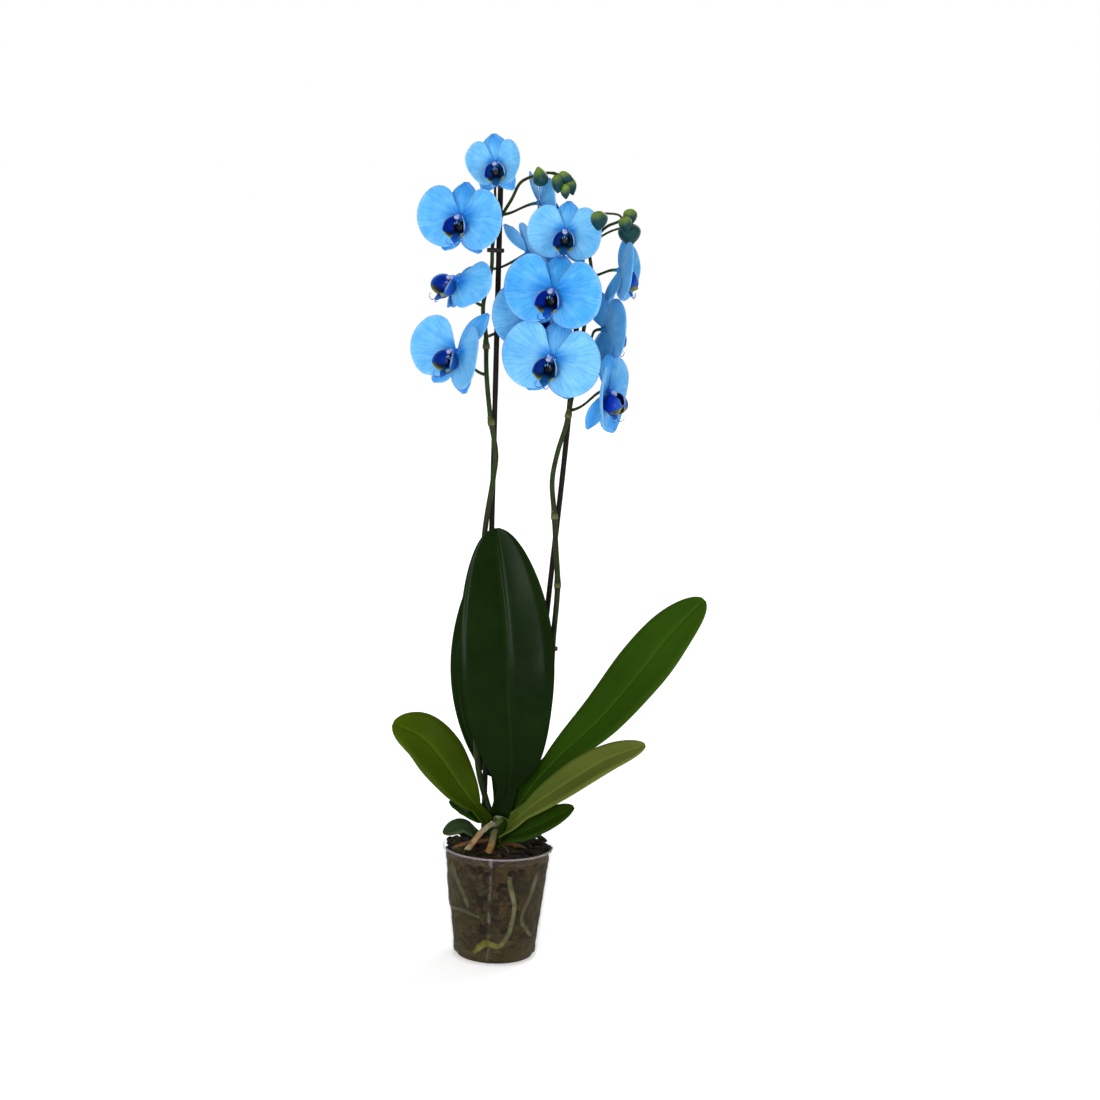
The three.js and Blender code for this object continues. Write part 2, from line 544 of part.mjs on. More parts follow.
function buildClip({ side, z }) {
  const stem = heightOn(STEMS[side], z);
  const stake = heightOn(STAKES[side], z, STAKE.steps);
  const span = Math.hypot(stem.x - stake.x, stem.y - stake.y);
  const inner = STEM.radius * 1.1 + 1.2;
  const shape = loopShape(span, inner + CLIP.wall);
  shape.holes.push(loopShape(span, inner));
  const extrusion = { depth: CLIP.height, bevelEnabled: false, curveSegments: 3 };
  const band = new THREE.ExtrudeGeometry(shape, extrusion);
  const reach = inner + CLIP.wall + CLIP.tab / 2 - 0.3;
  const front = stake.x > stem.x ? -1 : 1;
  const tabs = [-1, 1].map((way) => new THREE.BoxGeometry(1.4, CLIP.tab, CLIP.height)
    .translate(span / 2 + way * 1.6, front * reach, CLIP.height / 2));
  const angle = Math.atan2(stake.y - stem.y, stake.x - stem.x);
  return fuse([band, ...tabs].map((shapeOf) =>
    shapeOf.rotateZ(angle).translate(stem.x, stem.y, z - CLIP.height / 2)));
}

// Bark mix: a core with coarse relief, chips sunk into its top, and clear ways for what grows in it
function buildBark(holes) {
  const random = seeded(41);
  const profile = [[0, POT.floor + GAP], [potInner(0) - 3.5, POT.floor + GAP]];
  for (let k = 0; k <= BARK.levels; k++) {
    const z = lerp(POT.floor + 3, BARK.rimTop, k / BARK.levels);
    profile.push([z < POT.footStep ? potInner(0) - 2.6 : potInner(z) - GAP, z]);
  }
  profile.push([potInner(BARK.rimTop) - 8, BARK.rimTop + 2], [26, BARK.crownTop - 1], [0, BARK.crownTop]);
  const core = mergeVertices(bareOf(lathe(profile)), 1e-4);
  const positions = core.getAttribute("position");
  for (let i = 0; i < positions.count; i++) {
    const inward = 1 - (BARK.relief * random()) / 50;
    positions.setXYZ(i, positions.getX(i) * inward, positions.getY(i) * inward, positions.getZ(i));
  }
  const chips = [];
  for (let k = 0; k < BARK.chips; k++) {
    const radius = 50 * Math.sqrt((k + 0.5) / BARK.chips);
    const angle = k * 2.4;
    const chip = new THREE.BoxGeometry(9 + 8 * random(), 7 + 5 * random(), 4 + 3 * random());
    chip.rotateX(0.9 * (random() - 0.5)).rotateY(0.9 * (random() - 0.5)).rotateZ(6.28 * random());
    const z = lerp(BARK.crownTop, BARK.rimTop + 2, (radius / 50) ** 2) + 1.5 * random();
    chips.push(chip.translate(radius * Math.cos(angle), radius * Math.sin(angle), z));
  }
  const wallSpace = toSolid(lathe([[0, 100], [potInner(100) - GAP, 100], [potInner(110) - GAP, 110],
    [POT.rimRadius - 2.6 - GAP, 114], [POT.rimRadius - 1.9 - GAP, 140], [0, 140]]));
  const chipPieces = chips.map(toSolid).reduce((whole, chip) => whole.add(chip)).intersect(wallSpace);
  const whole = holes.reduce((bark, hole) => bark.subtract(hole), toSolid(core).add(chipPieces));
  return largest(whole);
}

function bareOf(geometry) {
  geometry.deleteAttribute("normal");
  geometry.deleteAttribute("uv");
  return geometry;
}

function largest(solid) {
  return solid.decompose().reduce((best, part) => (part.volume() > best.volume() ? part : best));
}

// Everything in place
const plant = new THREE.Group();
plant.add(piece("pot", buildPot(), "pot"));
const stakeHoles = Object.keys(STAKES).map((side) => buildStake(side, GAP));
plant.add(piece("bark_mix", buildBark([buildCrown(GAP), ...stakeHoles]), "bark"));
plant.add(piece("crown_with_roots", buildCrown(0), "root"));
for (const leaf of LEAVES) plant.add(piece(leaf.name, buildLeaf(leaf), "leaf"));
for (const side of Object.keys(STEMS)) {
  plant.add(piece(`spike_${side}`, buildSpike(side), "stem"));
  plant.add(piece(`stake_${side}`, buildStake(side), "stake"));
}
for (const clip of CLIPS) plant.add(piece(clip.name, buildClip(clip), "clip"));
for (const bloom of BLOOMS) plant.add(buildBloom(bloom));

export default plant;
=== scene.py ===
# Moth orchid in a clear nursery pot: blooms, leaves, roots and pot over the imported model.
# Metres, +Z up. The origin is the middle of the pot's foot, and the front is -Y.
import math
import random
from bisect import bisect_right

import bmesh
import bpy
from mathutils import Euler, Matrix, Vector, noise
from mathutils.geometry import interpolate_bezier


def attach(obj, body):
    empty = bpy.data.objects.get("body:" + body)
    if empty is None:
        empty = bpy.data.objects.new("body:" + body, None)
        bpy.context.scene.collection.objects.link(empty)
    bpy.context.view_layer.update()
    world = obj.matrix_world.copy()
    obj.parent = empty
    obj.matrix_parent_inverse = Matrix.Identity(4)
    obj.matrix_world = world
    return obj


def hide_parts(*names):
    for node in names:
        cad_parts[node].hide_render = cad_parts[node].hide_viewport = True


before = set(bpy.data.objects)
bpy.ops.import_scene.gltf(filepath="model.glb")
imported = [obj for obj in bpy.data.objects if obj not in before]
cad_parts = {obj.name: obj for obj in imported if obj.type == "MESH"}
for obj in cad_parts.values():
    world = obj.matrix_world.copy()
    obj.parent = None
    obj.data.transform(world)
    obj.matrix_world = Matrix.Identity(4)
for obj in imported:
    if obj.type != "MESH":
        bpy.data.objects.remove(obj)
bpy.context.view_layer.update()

# Camera, fitted to the pot's ellipses and the lean of the stakes
CAMERA_PLACE = (0.04395, -1.9, 0.640)
CAMERA_PITCH = math.radians(5.953)
CAMERA_ROLL = math.radians(2.184)
CAMERA_LENS = 58.97  # on a sensor 36 mm wide


def add_object(name, data):
    made = bpy.data.objects.new(name, data)
    bpy.context.collection.objects.link(made)
    return made


def place_camera():
    camera = add_object("camera", bpy.data.cameras.new("camera"))
    camera.data.lens = CAMERA_LENS
    camera.data.sensor_width = 36
    tilt = Matrix.Rotation(math.pi / 2 - CAMERA_PITCH, 4, "X")
    camera.matrix_world = Matrix.Translation(CAMERA_PLACE) @ tilt @ Matrix.Rotation(CAMERA_ROLL, 4, "Z")
    bpy.context.scene.camera = camera


place_camera()


# Colours as they read on a screen, from 0 to 255
def rgb(red, green, blue):
    def linear(level):
        level /= 255
        return level / 12.92 if level <= 0.04045 else ((level + 0.055) / 1.055) ** 2.4
    return Vector((linear(red), linear(green), linear(blue)))


# Small sums that shapes and colours share
def clamp(value, low=0.0, high=1.0):
    return max(low, min(high, value))


def ease(value, low, high):
    """0 below low, 1 above high, and smooth between them"""
    t = clamp((value - low) / (high - low))
    return t * t * (3 - 2 * t)


def blend(a, b, amount):
    return a + (b - a) * amount


def turned(degrees, axis, size=3):
    return Matrix.Rotation(math.radians(degrees), size, axis)


def polar(radius, angle, z):
    """The point at an angle round the Z axis"""
    return Vector((radius * math.cos(angle), radius * math.sin(angle), z))


# Materials: a socket that Python's own operators can work on, and one method that adds any node
class Wire:
    def __init__(self, finish, socket):
        self.finish = finish
        self.socket = socket

    def math(self, operation, *values):
        return self.finish.node("ShaderNodeMath", {"operation": operation}, dict(enumerate(values)))

    def __add__(self, other):
        return self.math("ADD", self, other)

    def __sub__(self, other):
        return self.math("SUBTRACT", self, other)

    def __rsub__(self, other):
        return self.math("SUBTRACT", other, self)

    def __mul__(self, other):
        return self.math("MULTIPLY", self, other)

    def __truediv__(self, other):
        return self.math("DIVIDE", self, other)

    def __abs__(self):
        return self.math("ABSOLUTE", self)

    __radd__ = __add__
    __rmul__ = __mul__


class Finish:
    def __init__(self, name, **constants):
        self.material = bpy.data.materials.new(name)
        self.material.use_nodes = True
        self.tree = self.material.node_tree
        self.shader = self.tree.nodes["Principled BSDF"]
        for socket, value in constants.items():
            self.shader.inputs[socket.replace("_", " ").title().replace("Ior", "IOR")].default_value = value

    def node(self, kind, settings=None, values=None, output=0):
        made = self.tree.nodes.new(kind)
        for name, setting in (settings or {}).items():
            if name == "stops":
                self.set_stops(made.color_ramp.elements, setting)
            else:
                setattr(made, name, setting)
        for name, value in (values or {}).items():
            self.join(value, made.inputs[name])
        return Wire(self, made.outputs[output])

    def set_stops(self, elements, stops):
        while len(elements) < len(stops):
            elements.new(1.0)
        for element, (place, level) in zip(elements, stops):
            element.position = place
            element.color = (level, level, level, 1)

    def join(self, value, socket):
        if isinstance(value, Wire):
            self.tree.links.new(value.socket, socket)
        elif isinstance(value, Vector) and socket.type == "RGBA":
            socket.default_value = (*value, 1)
        else:
            socket.default_value = value

    def place(self, source="Object", scale=(1, 1, 1)):
        names = ["Generated", "Normal", "UV", "Object"]
        found = self.node("ShaderNodeTexCoord", output=names.index(source))
        return self.node("ShaderNodeMapping", values={"Vector": found, "Scale": scale})

    def noise(self, place, scale, detail=3.0, roughness=0.55):
        values = {"Vector": place, "Scale": scale, "Detail": detail, "Roughness": roughness}
        return self.node("ShaderNodeTexNoise", values=values)

    def ramp(self, factor, *stops):
        return self.node("ShaderNodeValToRGB", {"stops": stops}, {"Fac": factor})

    def tint(self):
        return self.node("ShaderNodeAttribute", {"attribute_name": "tint"})

    def mix(self, amount, a, b, kind="MIX"):
        settings = {"data_type": "RGBA", "blend_type": kind}
        return self.node("ShaderNodeMix", settings, {0: amount, 6: a, 7: b}, output=2)

    def shade(self, colour, by):
        return self.mix(1.0, colour, by, "MULTIPLY")

    def axis(self, number):
        return self.node("ShaderNodeSeparateXYZ", values={"Vector": self.place()}, output=number)

    def skin(self, colour, rough, height, distance, strength):
        """Join what varies over the surface: its colour, its roughness and its relief"""
        self.join(colour, self.shader.inputs["Base Color"])
        self.join(rough, self.shader.inputs["Roughness"])
        values = {"Height": height, "Distance": distance, "Strength": strength}
        self.join(self.node("ShaderNodeBump", values=values), self.shader.inputs["Normal"])
        return self


# Smooth path through points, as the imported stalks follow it
class Path:
    def __init__(self, points, steps=16):
        points = [Vector(point) for point in points]
        ends = [2 * points[0] - points[1], *points, 2 * points[-1] - points[-2]]
        self.dots = []
        for a, b, c, d in zip(ends, ends[1:], ends[2:], ends[3:]):
            ab, bc, cd = (b - a).length ** 0.5, (c - b).length ** 0.5, (d - c).length ** 0.5
            leave = ((b - a) / ab - (c - a) / (ab + bc) + (c - b) / bc) * bc
            arrive = ((c - b) / bc - (d - b) / (bc + cd) + (d - c) / cd) * bc
            self.dots += interpolate_bezier(b, b + leave / 3, c - arrive / 3, c, steps)[:-1]
        self.dots.append(points[-1])
        self.runs = [0.0]
        for a, b in zip(self.dots, self.dots[1:]):
            self.runs.append(self.runs[-1] + (b - a).length)

    def at(self, t):
        run = clamp(t) * self.runs[-1]
        k = min(bisect_right(self.runs, run), len(self.dots) - 1)
        a, b = self.dots[k - 1], self.dots[k]
        return a.lerp(b, (run - self.runs[k - 1]) / (self.runs[k] - self.runs[k - 1]))

    def heading(self, t):
        return (self.at(t + 0.01) - self.at(t - 0.01)).normalized()

    def at_height(self, z):
        k = next(i for i, dot in enumerate(self.dots) if dot.z > z)
        a, b = self.dots[k - 1], self.dots[k]
        return a.lerp(b, (z - a.z) / (b.z - a.z))


# Meshes: a sheet from a grid, a tube along a path, a turned shape, and the piece that they end in
def new_mesh():
    bm = bmesh.new()
    bm.loops.layers.uv.new("UVMap")
    bm.verts.layers.float_color.new("tint")
    return bm


def add_sheet(bm, columns, rows, shape, tint, scale=(1, 1)):
    """A grid whose points go where shape(u, v) says, coloured by tint(u, v), with u and v as its UV"""
    uv = bm.loops.layers.uv.active
    paint = bm.verts.layers.float_color["tint"]
    made = bmesh.ops.create_grid(bm, x_segments=columns, y_segments=rows, size=0.5)["verts"]
    for face in {face for vert in made for face in vert.link_faces}:
        for loop in face.loops:
            loop[uv].uv = ((loop.vert.co.x + 0.5) * scale[0], (loop.vert.co.y + 0.5) * scale[1])
    for vert in made:
        u, v = vert.co.x + 0.5, vert.co.y + 0.5
        vert[paint] = (*tint(u, v), 1)
        vert.co = shape(u, v)


def add_curve(bm, points, radii, bevel, resolution, extrude=0, closed=False):
    """The mesh of a curve that runs straight from point to point and has a round bevel"""
    curve = bpy.data.curves.new("curve", "CURVE")
    curve.dimensions = "3D"
    curve.twist_mode = "Z_UP" if closed else "MINIMUM"
    curve.extrude = extrude
    curve.bevel_depth = bevel
    curve.bevel_resolution = resolution
    curve.use_fill_caps = not closed
    spline = curve.splines.new("POLY")
    spline.points.add(len(points) - 1)
    spline.use_cyclic_u = closed
    for spot, point, radius in zip(spline.points, points, radii):
        spot.co = (*point, 1)
        spot.radius = radius
    holder = bpy.data.objects.new("curve", curve)
    mesh = bpy.data.meshes.new_from_object(holder)
    bm.from_mesh(mesh)
    bpy.data.objects.remove(holder)
    bpy.data.curves.remove(curve)
    bpy.data.meshes.remove(mesh)


def add_tube(bm, path, radius, tint, sides=3, steps=None):
    """A round tube along a path, radius(t) thick and coloured by tint(t)"""
    paint = bm.verts.layers.float_color["tint"]
    steps = steps or max(8, int(path.runs[-1] / 0.004))
    points = [path.at(k / steps) for k in range(steps + 1)]
    before = len(bm.verts)
    add_curve(bm, points, [radius(k / steps) for k in range(steps + 1)], 1.0, sides)
    bm.verts.ensure_lookup_table()
    made = bm.verts[before:]
    for vert in made:
        nearest = min(range(steps + 1), key=lambda k: (points[k] - vert.co).length_squared)
        vert[paint] = (*tint(nearest / steps), 1)
    bmesh.ops.remove_doubles(bm, verts=made, dist=1e-6)


def add_ball(bm, shape, tint, around=20, along=12):
    """A ball whose points go where shape(direction) says, coloured by tint(direction)"""
    paint = bm.verts.layers.float_color["tint"]
    made = bmesh.ops.create_uvsphere(bm, u_segments=around, v_segments=along, radius=1)["verts"]
    for vert in made:
        direction = vert.co.copy()
        vert[paint] = (*tint(direction), 1)
        vert.co = shape(direction)


def add_turned(bm, profile, tint, steps=96):
    """A shape turned about the Z axis from (radius, height) pairs that begin and end on it"""
    paint = bm.verts.layers.float_color["tint"]
    line = [bm.verts.new((radius, 0, z)) for radius, z in profile]
    edges = [bm.edges.new(pair) for pair in zip(line, line[1:])]
    bmesh.ops.spin(bm, geom=line + edges, cent=(0, 0, 0), axis=(0, 0, 1), angle=math.tau, steps=steps,
                   use_merge=True)
    bmesh.ops.remove_doubles(bm, verts=bm.verts[:], dist=1e-6)
    for vert in bm.verts:
        vert[paint] = (*tint, 1)
    bmesh.ops.recalc_face_normals(bm, faces=bm.faces[:])


def finish_piece(name, bm, finishes, nodes=()):
    """The object that a mesh ends in: smooth, riding on the plant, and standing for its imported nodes"""
    mesh = bpy.data.meshes.new(name)
    bm.to_mesh(mesh)
    bm.free()
    mesh.shade_smooth()
    for finish in finishes:
        mesh.materials.append(finish.material)
    piece = add_object(name, mesh)
    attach(piece, "root")
    if nodes:
        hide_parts(*nodes)
    return piece


def thicken(piece, thickness, back=0):
    solid = piece.modifiers.new("thickness", "SOLIDIFY")
    solid.thickness = thickness
    solid.offset = 0
    solid.material_offset = back
    solid.material_offset_rim = 0


# Petal finish: fine veins that fan from the claw, soft mottling and a faint velvet sheen
def petal_finish(name, veil):
    finish = Finish(name, sheen_weight=0.08, sheen_roughness=0.4, specular_ior_level=0.15,
                    subsurface_weight=0.12, subsurface_radius=(0.6, 0.8, 1.0), subsurface_scale=0.004)
    tint = finish.tint()
    along = finish.place("UV", (1, 2.2, 1))
    veins = finish.ramp(finish.noise(along, 1.0, 2.0, 0.6), (0.35, 1.0), (0.55, 0.25), (0.72, 0.0))
    fine = finish.noise(finish.place("UV", (2.6, 6, 1)), 1.0, 3.0)
    blotch = finish.noise(finish.place("Object"), 55.0, 4.0)
    deeper = finish.shade(tint, rgb(150, 208, 240))
    veined = finish.mix(veins * 0.75, tint, deeper)
    streaked = finish.mix(fine * 0.35, veined, rgb(225, 240, 255), "SOFT_LIGHT")
    deep = finish.shade(streaked, rgb(150, 208, 238))
    mottled = finish.mix(finish.ramp(blotch, (0.4, 0.0), (0.68, 0.5)), streaked, deep)
    cloud = finish.noise(finish.place("UV", (0.11, 1.6, 1)), 1.0, 3.0)
    paler = finish.mix(finish.ramp(cloud, (0.48, 0.0), (0.78, 0.28)), mottled, rgb(156, 208, 240))
    colour = finish.mix(veil, paler, rgb(92, 170, 220))
    return finish.skin(colour, 0.5 + blotch * 0.15, veins * -0.6 + fine * 0.4, 0.0003, 0.6)


# Lip finish: waxy lobes with a fine grain
def lip_finish():
    finish = Finish("lip", specular_ior_level=0.1, coat_weight=0.03, coat_roughness=0.15)
    grain = finish.noise(finish.place(), 900.0, 3.0)
    deeper = finish.shade(finish.tint(), rgb(150, 175, 205))
    return finish.skin(finish.mix(grain * 0.7, finish.tint(), deeper), 0.24 + grain * 0.2, grain, 0.0002, 0.5)


def column_finish():
    finish = Finish("column", specular_ior_level=0.3)
    grain = finish.noise(finish.place(), 700.0, 3.0)
    colour = finish.mix(grain * 0.5, finish.tint(), finish.shade(finish.tint(), rgb(205, 190, 230)))
    return finish.skin(colour, 0.35 + grain * 0.2, grain, 0.00015, 0.4)


# Leaf finish: lengthwise veins, cloudy greens and a waxy gloss
def leaf_finish():
    finish = Finish("leaf", specular_ior_level=0.0, coat_weight=0.05, coat_roughness=0.18)
    tint = finish.tint()
    veins = finish.noise(finish.place("UV", (46, 2.5, 1)), 1.0, 3.0, 0.6)
    clouds = finish.noise(finish.place(), 22.0, 4.0, 0.6)
    specks = finish.noise(finish.place(), 420.0, 2.0)
    pale = finish.mix(1.0, tint, rgb(20, 28, 8), "ADD")
    clouded = finish.mix(finish.ramp(clouds, (0.35, 0.0), (0.75, 0.5)), tint, pale)
    veined = finish.mix(veins * 0.5, clouded, finish.shade(clouded, rgb(190, 200, 170)))
    colour = finish.mix(specks * 0.25, veined, finish.shade(veined, rgb(205, 220, 190)))
    return finish.skin(colour, 0.24 + clouds * 0.14 + specks * 0.06, veins * 0.8 + specks * 0.12, 0.0005, 0.5)


# Stem finish: fleshy skin, mottled towards brown in patches
def stem_finish():
    finish = Finish("stem", specular_ior_level=0.1)
    tint = finish.tint()
    streaks = finish.noise(finish.place("Object", (1, 1, 0.12)), 900.0, 3.0)
    blotch = finish.noise(finish.place(), 110.0, 4.0)
    brown = finish.shade(tint, rgb(200, 165, 140))
    colour = finish.mix(finish.ramp(blotch, (0.42, 0.0), (0.7, 0.8)), tint, brown)
    return finish.skin(colour, 0.36 + streaks * 0.18, streaks, 0.0002, 0.5)


# Bud finish: glossy skin with fine blotches
def bud_finish():
    finish = Finish("bud", specular_ior_level=0.12, coat_weight=0.04, coat_roughness=0.1)
    tint = finish.tint()
    blotch = finish.noise(finish.place(), 260.0, 4.0)
    colour = finish.mix(blotch * 0.7, tint, finish.shade(tint, rgb(165, 190, 175)))
    return finish.skin(colour, 0.3 + blotch * 0.15, blotch, 0.0003, 0.4)


# Stake finish: dark stained cane with lengthwise grain
def stake_finish():
    finish = Finish("stake", specular_ior_level=0.08)
    grain = finish.noise(finish.place("Object", (1, 1, 0.03)), 1500.0, 4.0, 0.65)
    patch = finish.noise(finish.place(), 35.0, 3.0)
    stained = finish.mix(grain, rgb(8, 7, 4), rgb(30, 24, 16))
    colour = finish.mix(finish.ramp(patch, (0.5, 0.0), (0.8, 0.5)), stained, rgb(40, 34, 24))
    return finish.skin(colour, 0.42 + grain * 0.25, grain, 0.0002, 0.7)


def clip_finish():
    finish = Finish("clip", specular_ior_level=0.3)
    grain = finish.noise(finish.place(), 1400.0, 2.0)
    colour = finish.mix(grain, rgb(8, 8, 9), rgb(24, 24, 26))
    return finish.skin(colour, 0.38 + grain * 0.18, grain, 0.0001, 0.4)


# Bark finish: flaky layers, each chip with its own brown
def bark_finish():
    finish = Finish("bark", specular_ior_level=0.15)
    tint = finish.tint()
    layers = finish.noise(finish.place("Object", (1, 1, 2.2)), 260.0, 5.0, 0.7)
    pits = finish.noise(finish.place(), 900.0, 3.0)
    dark = finish.shade(tint, rgb(110, 100, 95))
    layered = finish.mix(finish.ramp(layers, (0.35, 1.0), (0.62, 0.0)), tint, dark)
    colour = finish.mix(finish.ramp(pits, (0.6, 0.0), (0.8, 0.6)), layered, rgb(150, 128, 100))
    return finish.skin(colour, 0.82 + pits * 0.15, layers + pits * 0.4, 0.0012, 0.9)


# Root finish: matte silvery skin with darker wet patches
def root_finish():
    finish = Finish("root", specular_ior_level=0.2)
    tint = finish.tint()
    patch = finish.noise(finish.place(), 130.0, 4.0, 0.6)
    pores = finish.noise(finish.place(), 1300.0, 2.0)
    wet = finish.shade(tint, rgb(165, 150, 115))
    colour = finish.mix(finish.ramp(patch, (0.4, 0.0), (0.68, 0.9)), tint, wet)
    return finish.skin(colour, 0.6 + pores * 0.25, patch * 0.6 + pores * 0.4, 0.0005, 0.7)


# Pot sizes, as packed
POT_RIM = 0.060
POT_FOOT = 0.0468
POT_HEIGHT = 0.1205
POT_WALL = 0.0012
POT_COLLAR = 0.112
POT_STEP = 0.009
POT_STEP_DEPTH = 0.0012
POT_LEVELS = (0.03, 0.06, 0.09)
POT_LINES = (0.1132, 0.1152, 0.1170)
# How far left of the middle the mould seam and its painted highlight run
POT_SEAM_HIGHLIGHT_LEFT = 0.0056
DRAIN_HOLES = 6
DRAIN_RING = 0.031
DRAIN_RADIUS = 0.0035


# Clear plastic, milkier at its edges and its rim, with smears of lime and a scuffed mould seam whose pale
# streak down the front is a painted highlight
def plastic_finish():
    finish = Finish("clear_plastic", specular_ior_level=0.06)
    x, y, z = [finish.axis(number) for number in range(3)]
    smear = finish.noise(finish.place("Object", (1, 1, 0.25)), 70.0, 5.0, 0.65)
    specks = finish.noise(finish.place(), 520.0, 3.0)
    edge = finish.node("ShaderNodeLayerWeight", values={"Blend": 0.22}, output=1)
    lime = finish.ramp(smear, (0.58, 0.0), (0.8, 0.07))
    rim = finish.ramp(z * 8, (0.945, 0.0), (0.955, 0.4))
    for height in POT_LINES:
        rim = rim + finish.ramp(abs(z - height) * 1000, (0.1, 0.12), (0.5, 0.0))
    rim = rim * finish.ramp(y * -10 + 0.5, (0.4, 0.2), (0.62, 1.0))
    front = finish.ramp(y * -20, (0.0, 0.0), (0.4, 1.0))
    # A pale streak down the front along the mould seam: a painted highlight, broken up by noise
    highlight_band = finish.ramp(abs(x + POT_SEAM_HIGHLIGHT_LEFT) * 330, (0.0, 1.0), (0.9, 0.0))
    highlight_breaks = finish.noise(finish.place("Object", (1, 1, 0.5)), 160.0, 3.0)
    seam_highlight = highlight_band * front * finish.ramp(highlight_breaks, (0.45, 0.02), (0.66, 0.24))
    finish.join(0.005 + edge * 0.16 + lime + rim + seam_highlight, finish.shader.inputs["Alpha"])
    dusty = finish.mix(specks * 0.4, rgb(120, 106, 80), rgb(166, 158, 146))
    # The rim lines and the seam streak turn pale lavender-grey, the streak as a painted highlight
    colour = finish.mix(finish.ramp(rim + seam_highlight, (0.05, 0.0), (0.2, 1.0)), dusty, rgb(166, 156, 158))
    return finish.skin(colour, 0.1 + smear * 0.14, smear, 0.0002, 0.2)


# Finishes of the pieces
PETAL = petal_finish("petal", 0.0)
PETAL_BACK = petal_finish("petal_back", 0.28)
LIP = lip_finish()
COLUMN = column_finish()
LEAF = leaf_finish()
STEM = stem_finish()
BUD = bud_finish()
STAKE = stake_finish()
CLIP = clip_finish()
BARK = bark_finish()
ROOT = root_finish()
PLASTIC = plastic_finish()


# Clear pot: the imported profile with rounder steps, moulded rings and its drain holes
def pot_outside(z):
    climb = (max(z, POT_STEP) - POT_STEP) / (POT_COLLAR - POT_STEP)
    return blend(POT_FOOT, POT_RIM - POT_STEP_DEPTH, climb)


def build_pot():
    foot = POT_FOOT - POT_STEP_DEPTH
    outside = [(0, 0), (foot - 0.0016, 0), (foot - 0.0006, 0.0003), (foot, 0.0014),
               (foot, POT_STEP - 0.0012), (POT_FOOT, POT_STEP)]
    outside += [(pot_outside(z), z) for z in (*POT_LEVELS, POT_COLLAR - 0.0004)]
    for z in POT_LINES:
        outside += [(POT_RIM - 0.0014, z - 0.0005), (POT_RIM - 0.0009, z), (POT_RIM - 0.0014, z + 0.0005)]
    lip = [(0.0011, 0.0028), (0.0004, 0.0022), (0, 0.0012), (0.0003, 0.0003), (0.001, 0), (0.0019, 0.0001),
           (0.0024, 0.0012)]
    outside += [(POT_RIM - inward, POT_HEIGHT - down) for inward, down in lip]
    inside = [(POT_RIM - 0.0026, POT_COLLAR + 0.001)]
    inside += [(pot_outside(POT_COLLAR) - POT_WALL, POT_COLLAR - 0.0008)]
    inside += [(pot_outside(z) - POT_WALL, z) for z in (*reversed(POT_LEVELS), POT_STEP + 0.0006)]
    inside += [(foot - POT_WALL, POT_STEP - 0.0006), (foot - POT_WALL, 0.0018), (0, 0.0016)]
    bm = new_mesh()
    add_turned(bm, outside + inside, (1, 1, 1))
    cut_drains(finish_piece("pot_wall", bm, [PLASTIC], ["pot"]))


def cut_drains(pot):
    holes = bmesh.new()
    for k in range(DRAIN_HOLES):
        spot = Matrix.Translation(polar(DRAIN_RING, math.tau * (k + 0.5) / DRAIN_HOLES, 0))
        bmesh.ops.create_cone(holes, cap_ends=True, segments=24, radius1=DRAIN_RADIUS, radius2=DRAIN_RADIUS,
                              depth=0.02, matrix=spot)
    holder = bpy.data.meshes.new("drain_cutter")
    holes.to_mesh(holder)
    holes.free()
    cutter = add_object("drain_cutter", holder)
    cut = pot.modifiers.new("drain", "BOOLEAN")
    cut.operation = "DIFFERENCE"
    cut.object = cutter
    shaped = bpy.data.meshes.new_from_object(pot.evaluated_get(bpy.context.evaluated_depsgraph_get()))
    pot.modifiers.clear()
    pot.data = shaped
    bpy.data.objects.remove(cutter)
    shaped.set_sharp_from_angle(angle=math.radians(40))


# Bark mix: a dark core, and chips pressed against the wall and heaped on top
BARK_FLOOR = 0.0022
BARK_RIM = 0.1115
BARK_CROWN = 0.118
BARK_BROWNS = [rgb(80, 62, 34), rgb(58, 46, 26), rgb(100, 84, 46), rgb(44, 38, 22), rgb(84, 80, 42),
               rgb(66, 70, 32)]
BARK_MOSS = rgb(96, 92, 40)
WALL_CHIPS = 420
WALL_CHIP_SIZE = ((0.0014, 0.0024), (0.005, 0.013), (0.004, 0.011))
WALL_SHADES = (0.24, 0.3, 0.38, 0.5)
TOP_CHIPS = 270
TOP_CHIP_SIZE = ((0.008, 0.017), (0.005, 0.011), (0.0025, 0.005))
TOP_CHIP_REACH = 0.0535
TOP_SHADES = (0.25, 0.4, 0.7)
GOLDEN_ANGLE = 2.39996


def bark_brown(chance):
    return chance.choice(BARK_BROWNS) * chance.uniform(0.6, 1.05)


def add_chip(bm, place, turn, size, tint, chance):
    """A flake of bark: a bevelled slab with its corners knocked about"""
    paint = bm.verts.layers.float_color["tint"]
    made = bmesh.ops.create_cube(bm, size=1)["verts"]
    edges = list({edge for vert in made for edge in vert.link_edges})
    bevelled = bmesh.ops.bevel(bm, geom=made + edges, offset=0.16, offset_type="OFFSET", segments=1,
                               profile=0.5, affect="EDGES", material=-1)["verts"]
    for vert in bevelled:
        vert[paint] = (*tint, 1)
        knock = Vector([chance.uniform(-0.09, 0.09) for _ in range(3)])
        vert.co = place + turn @ Vector([a * b for a, b in zip(vert.co + knock, size)])


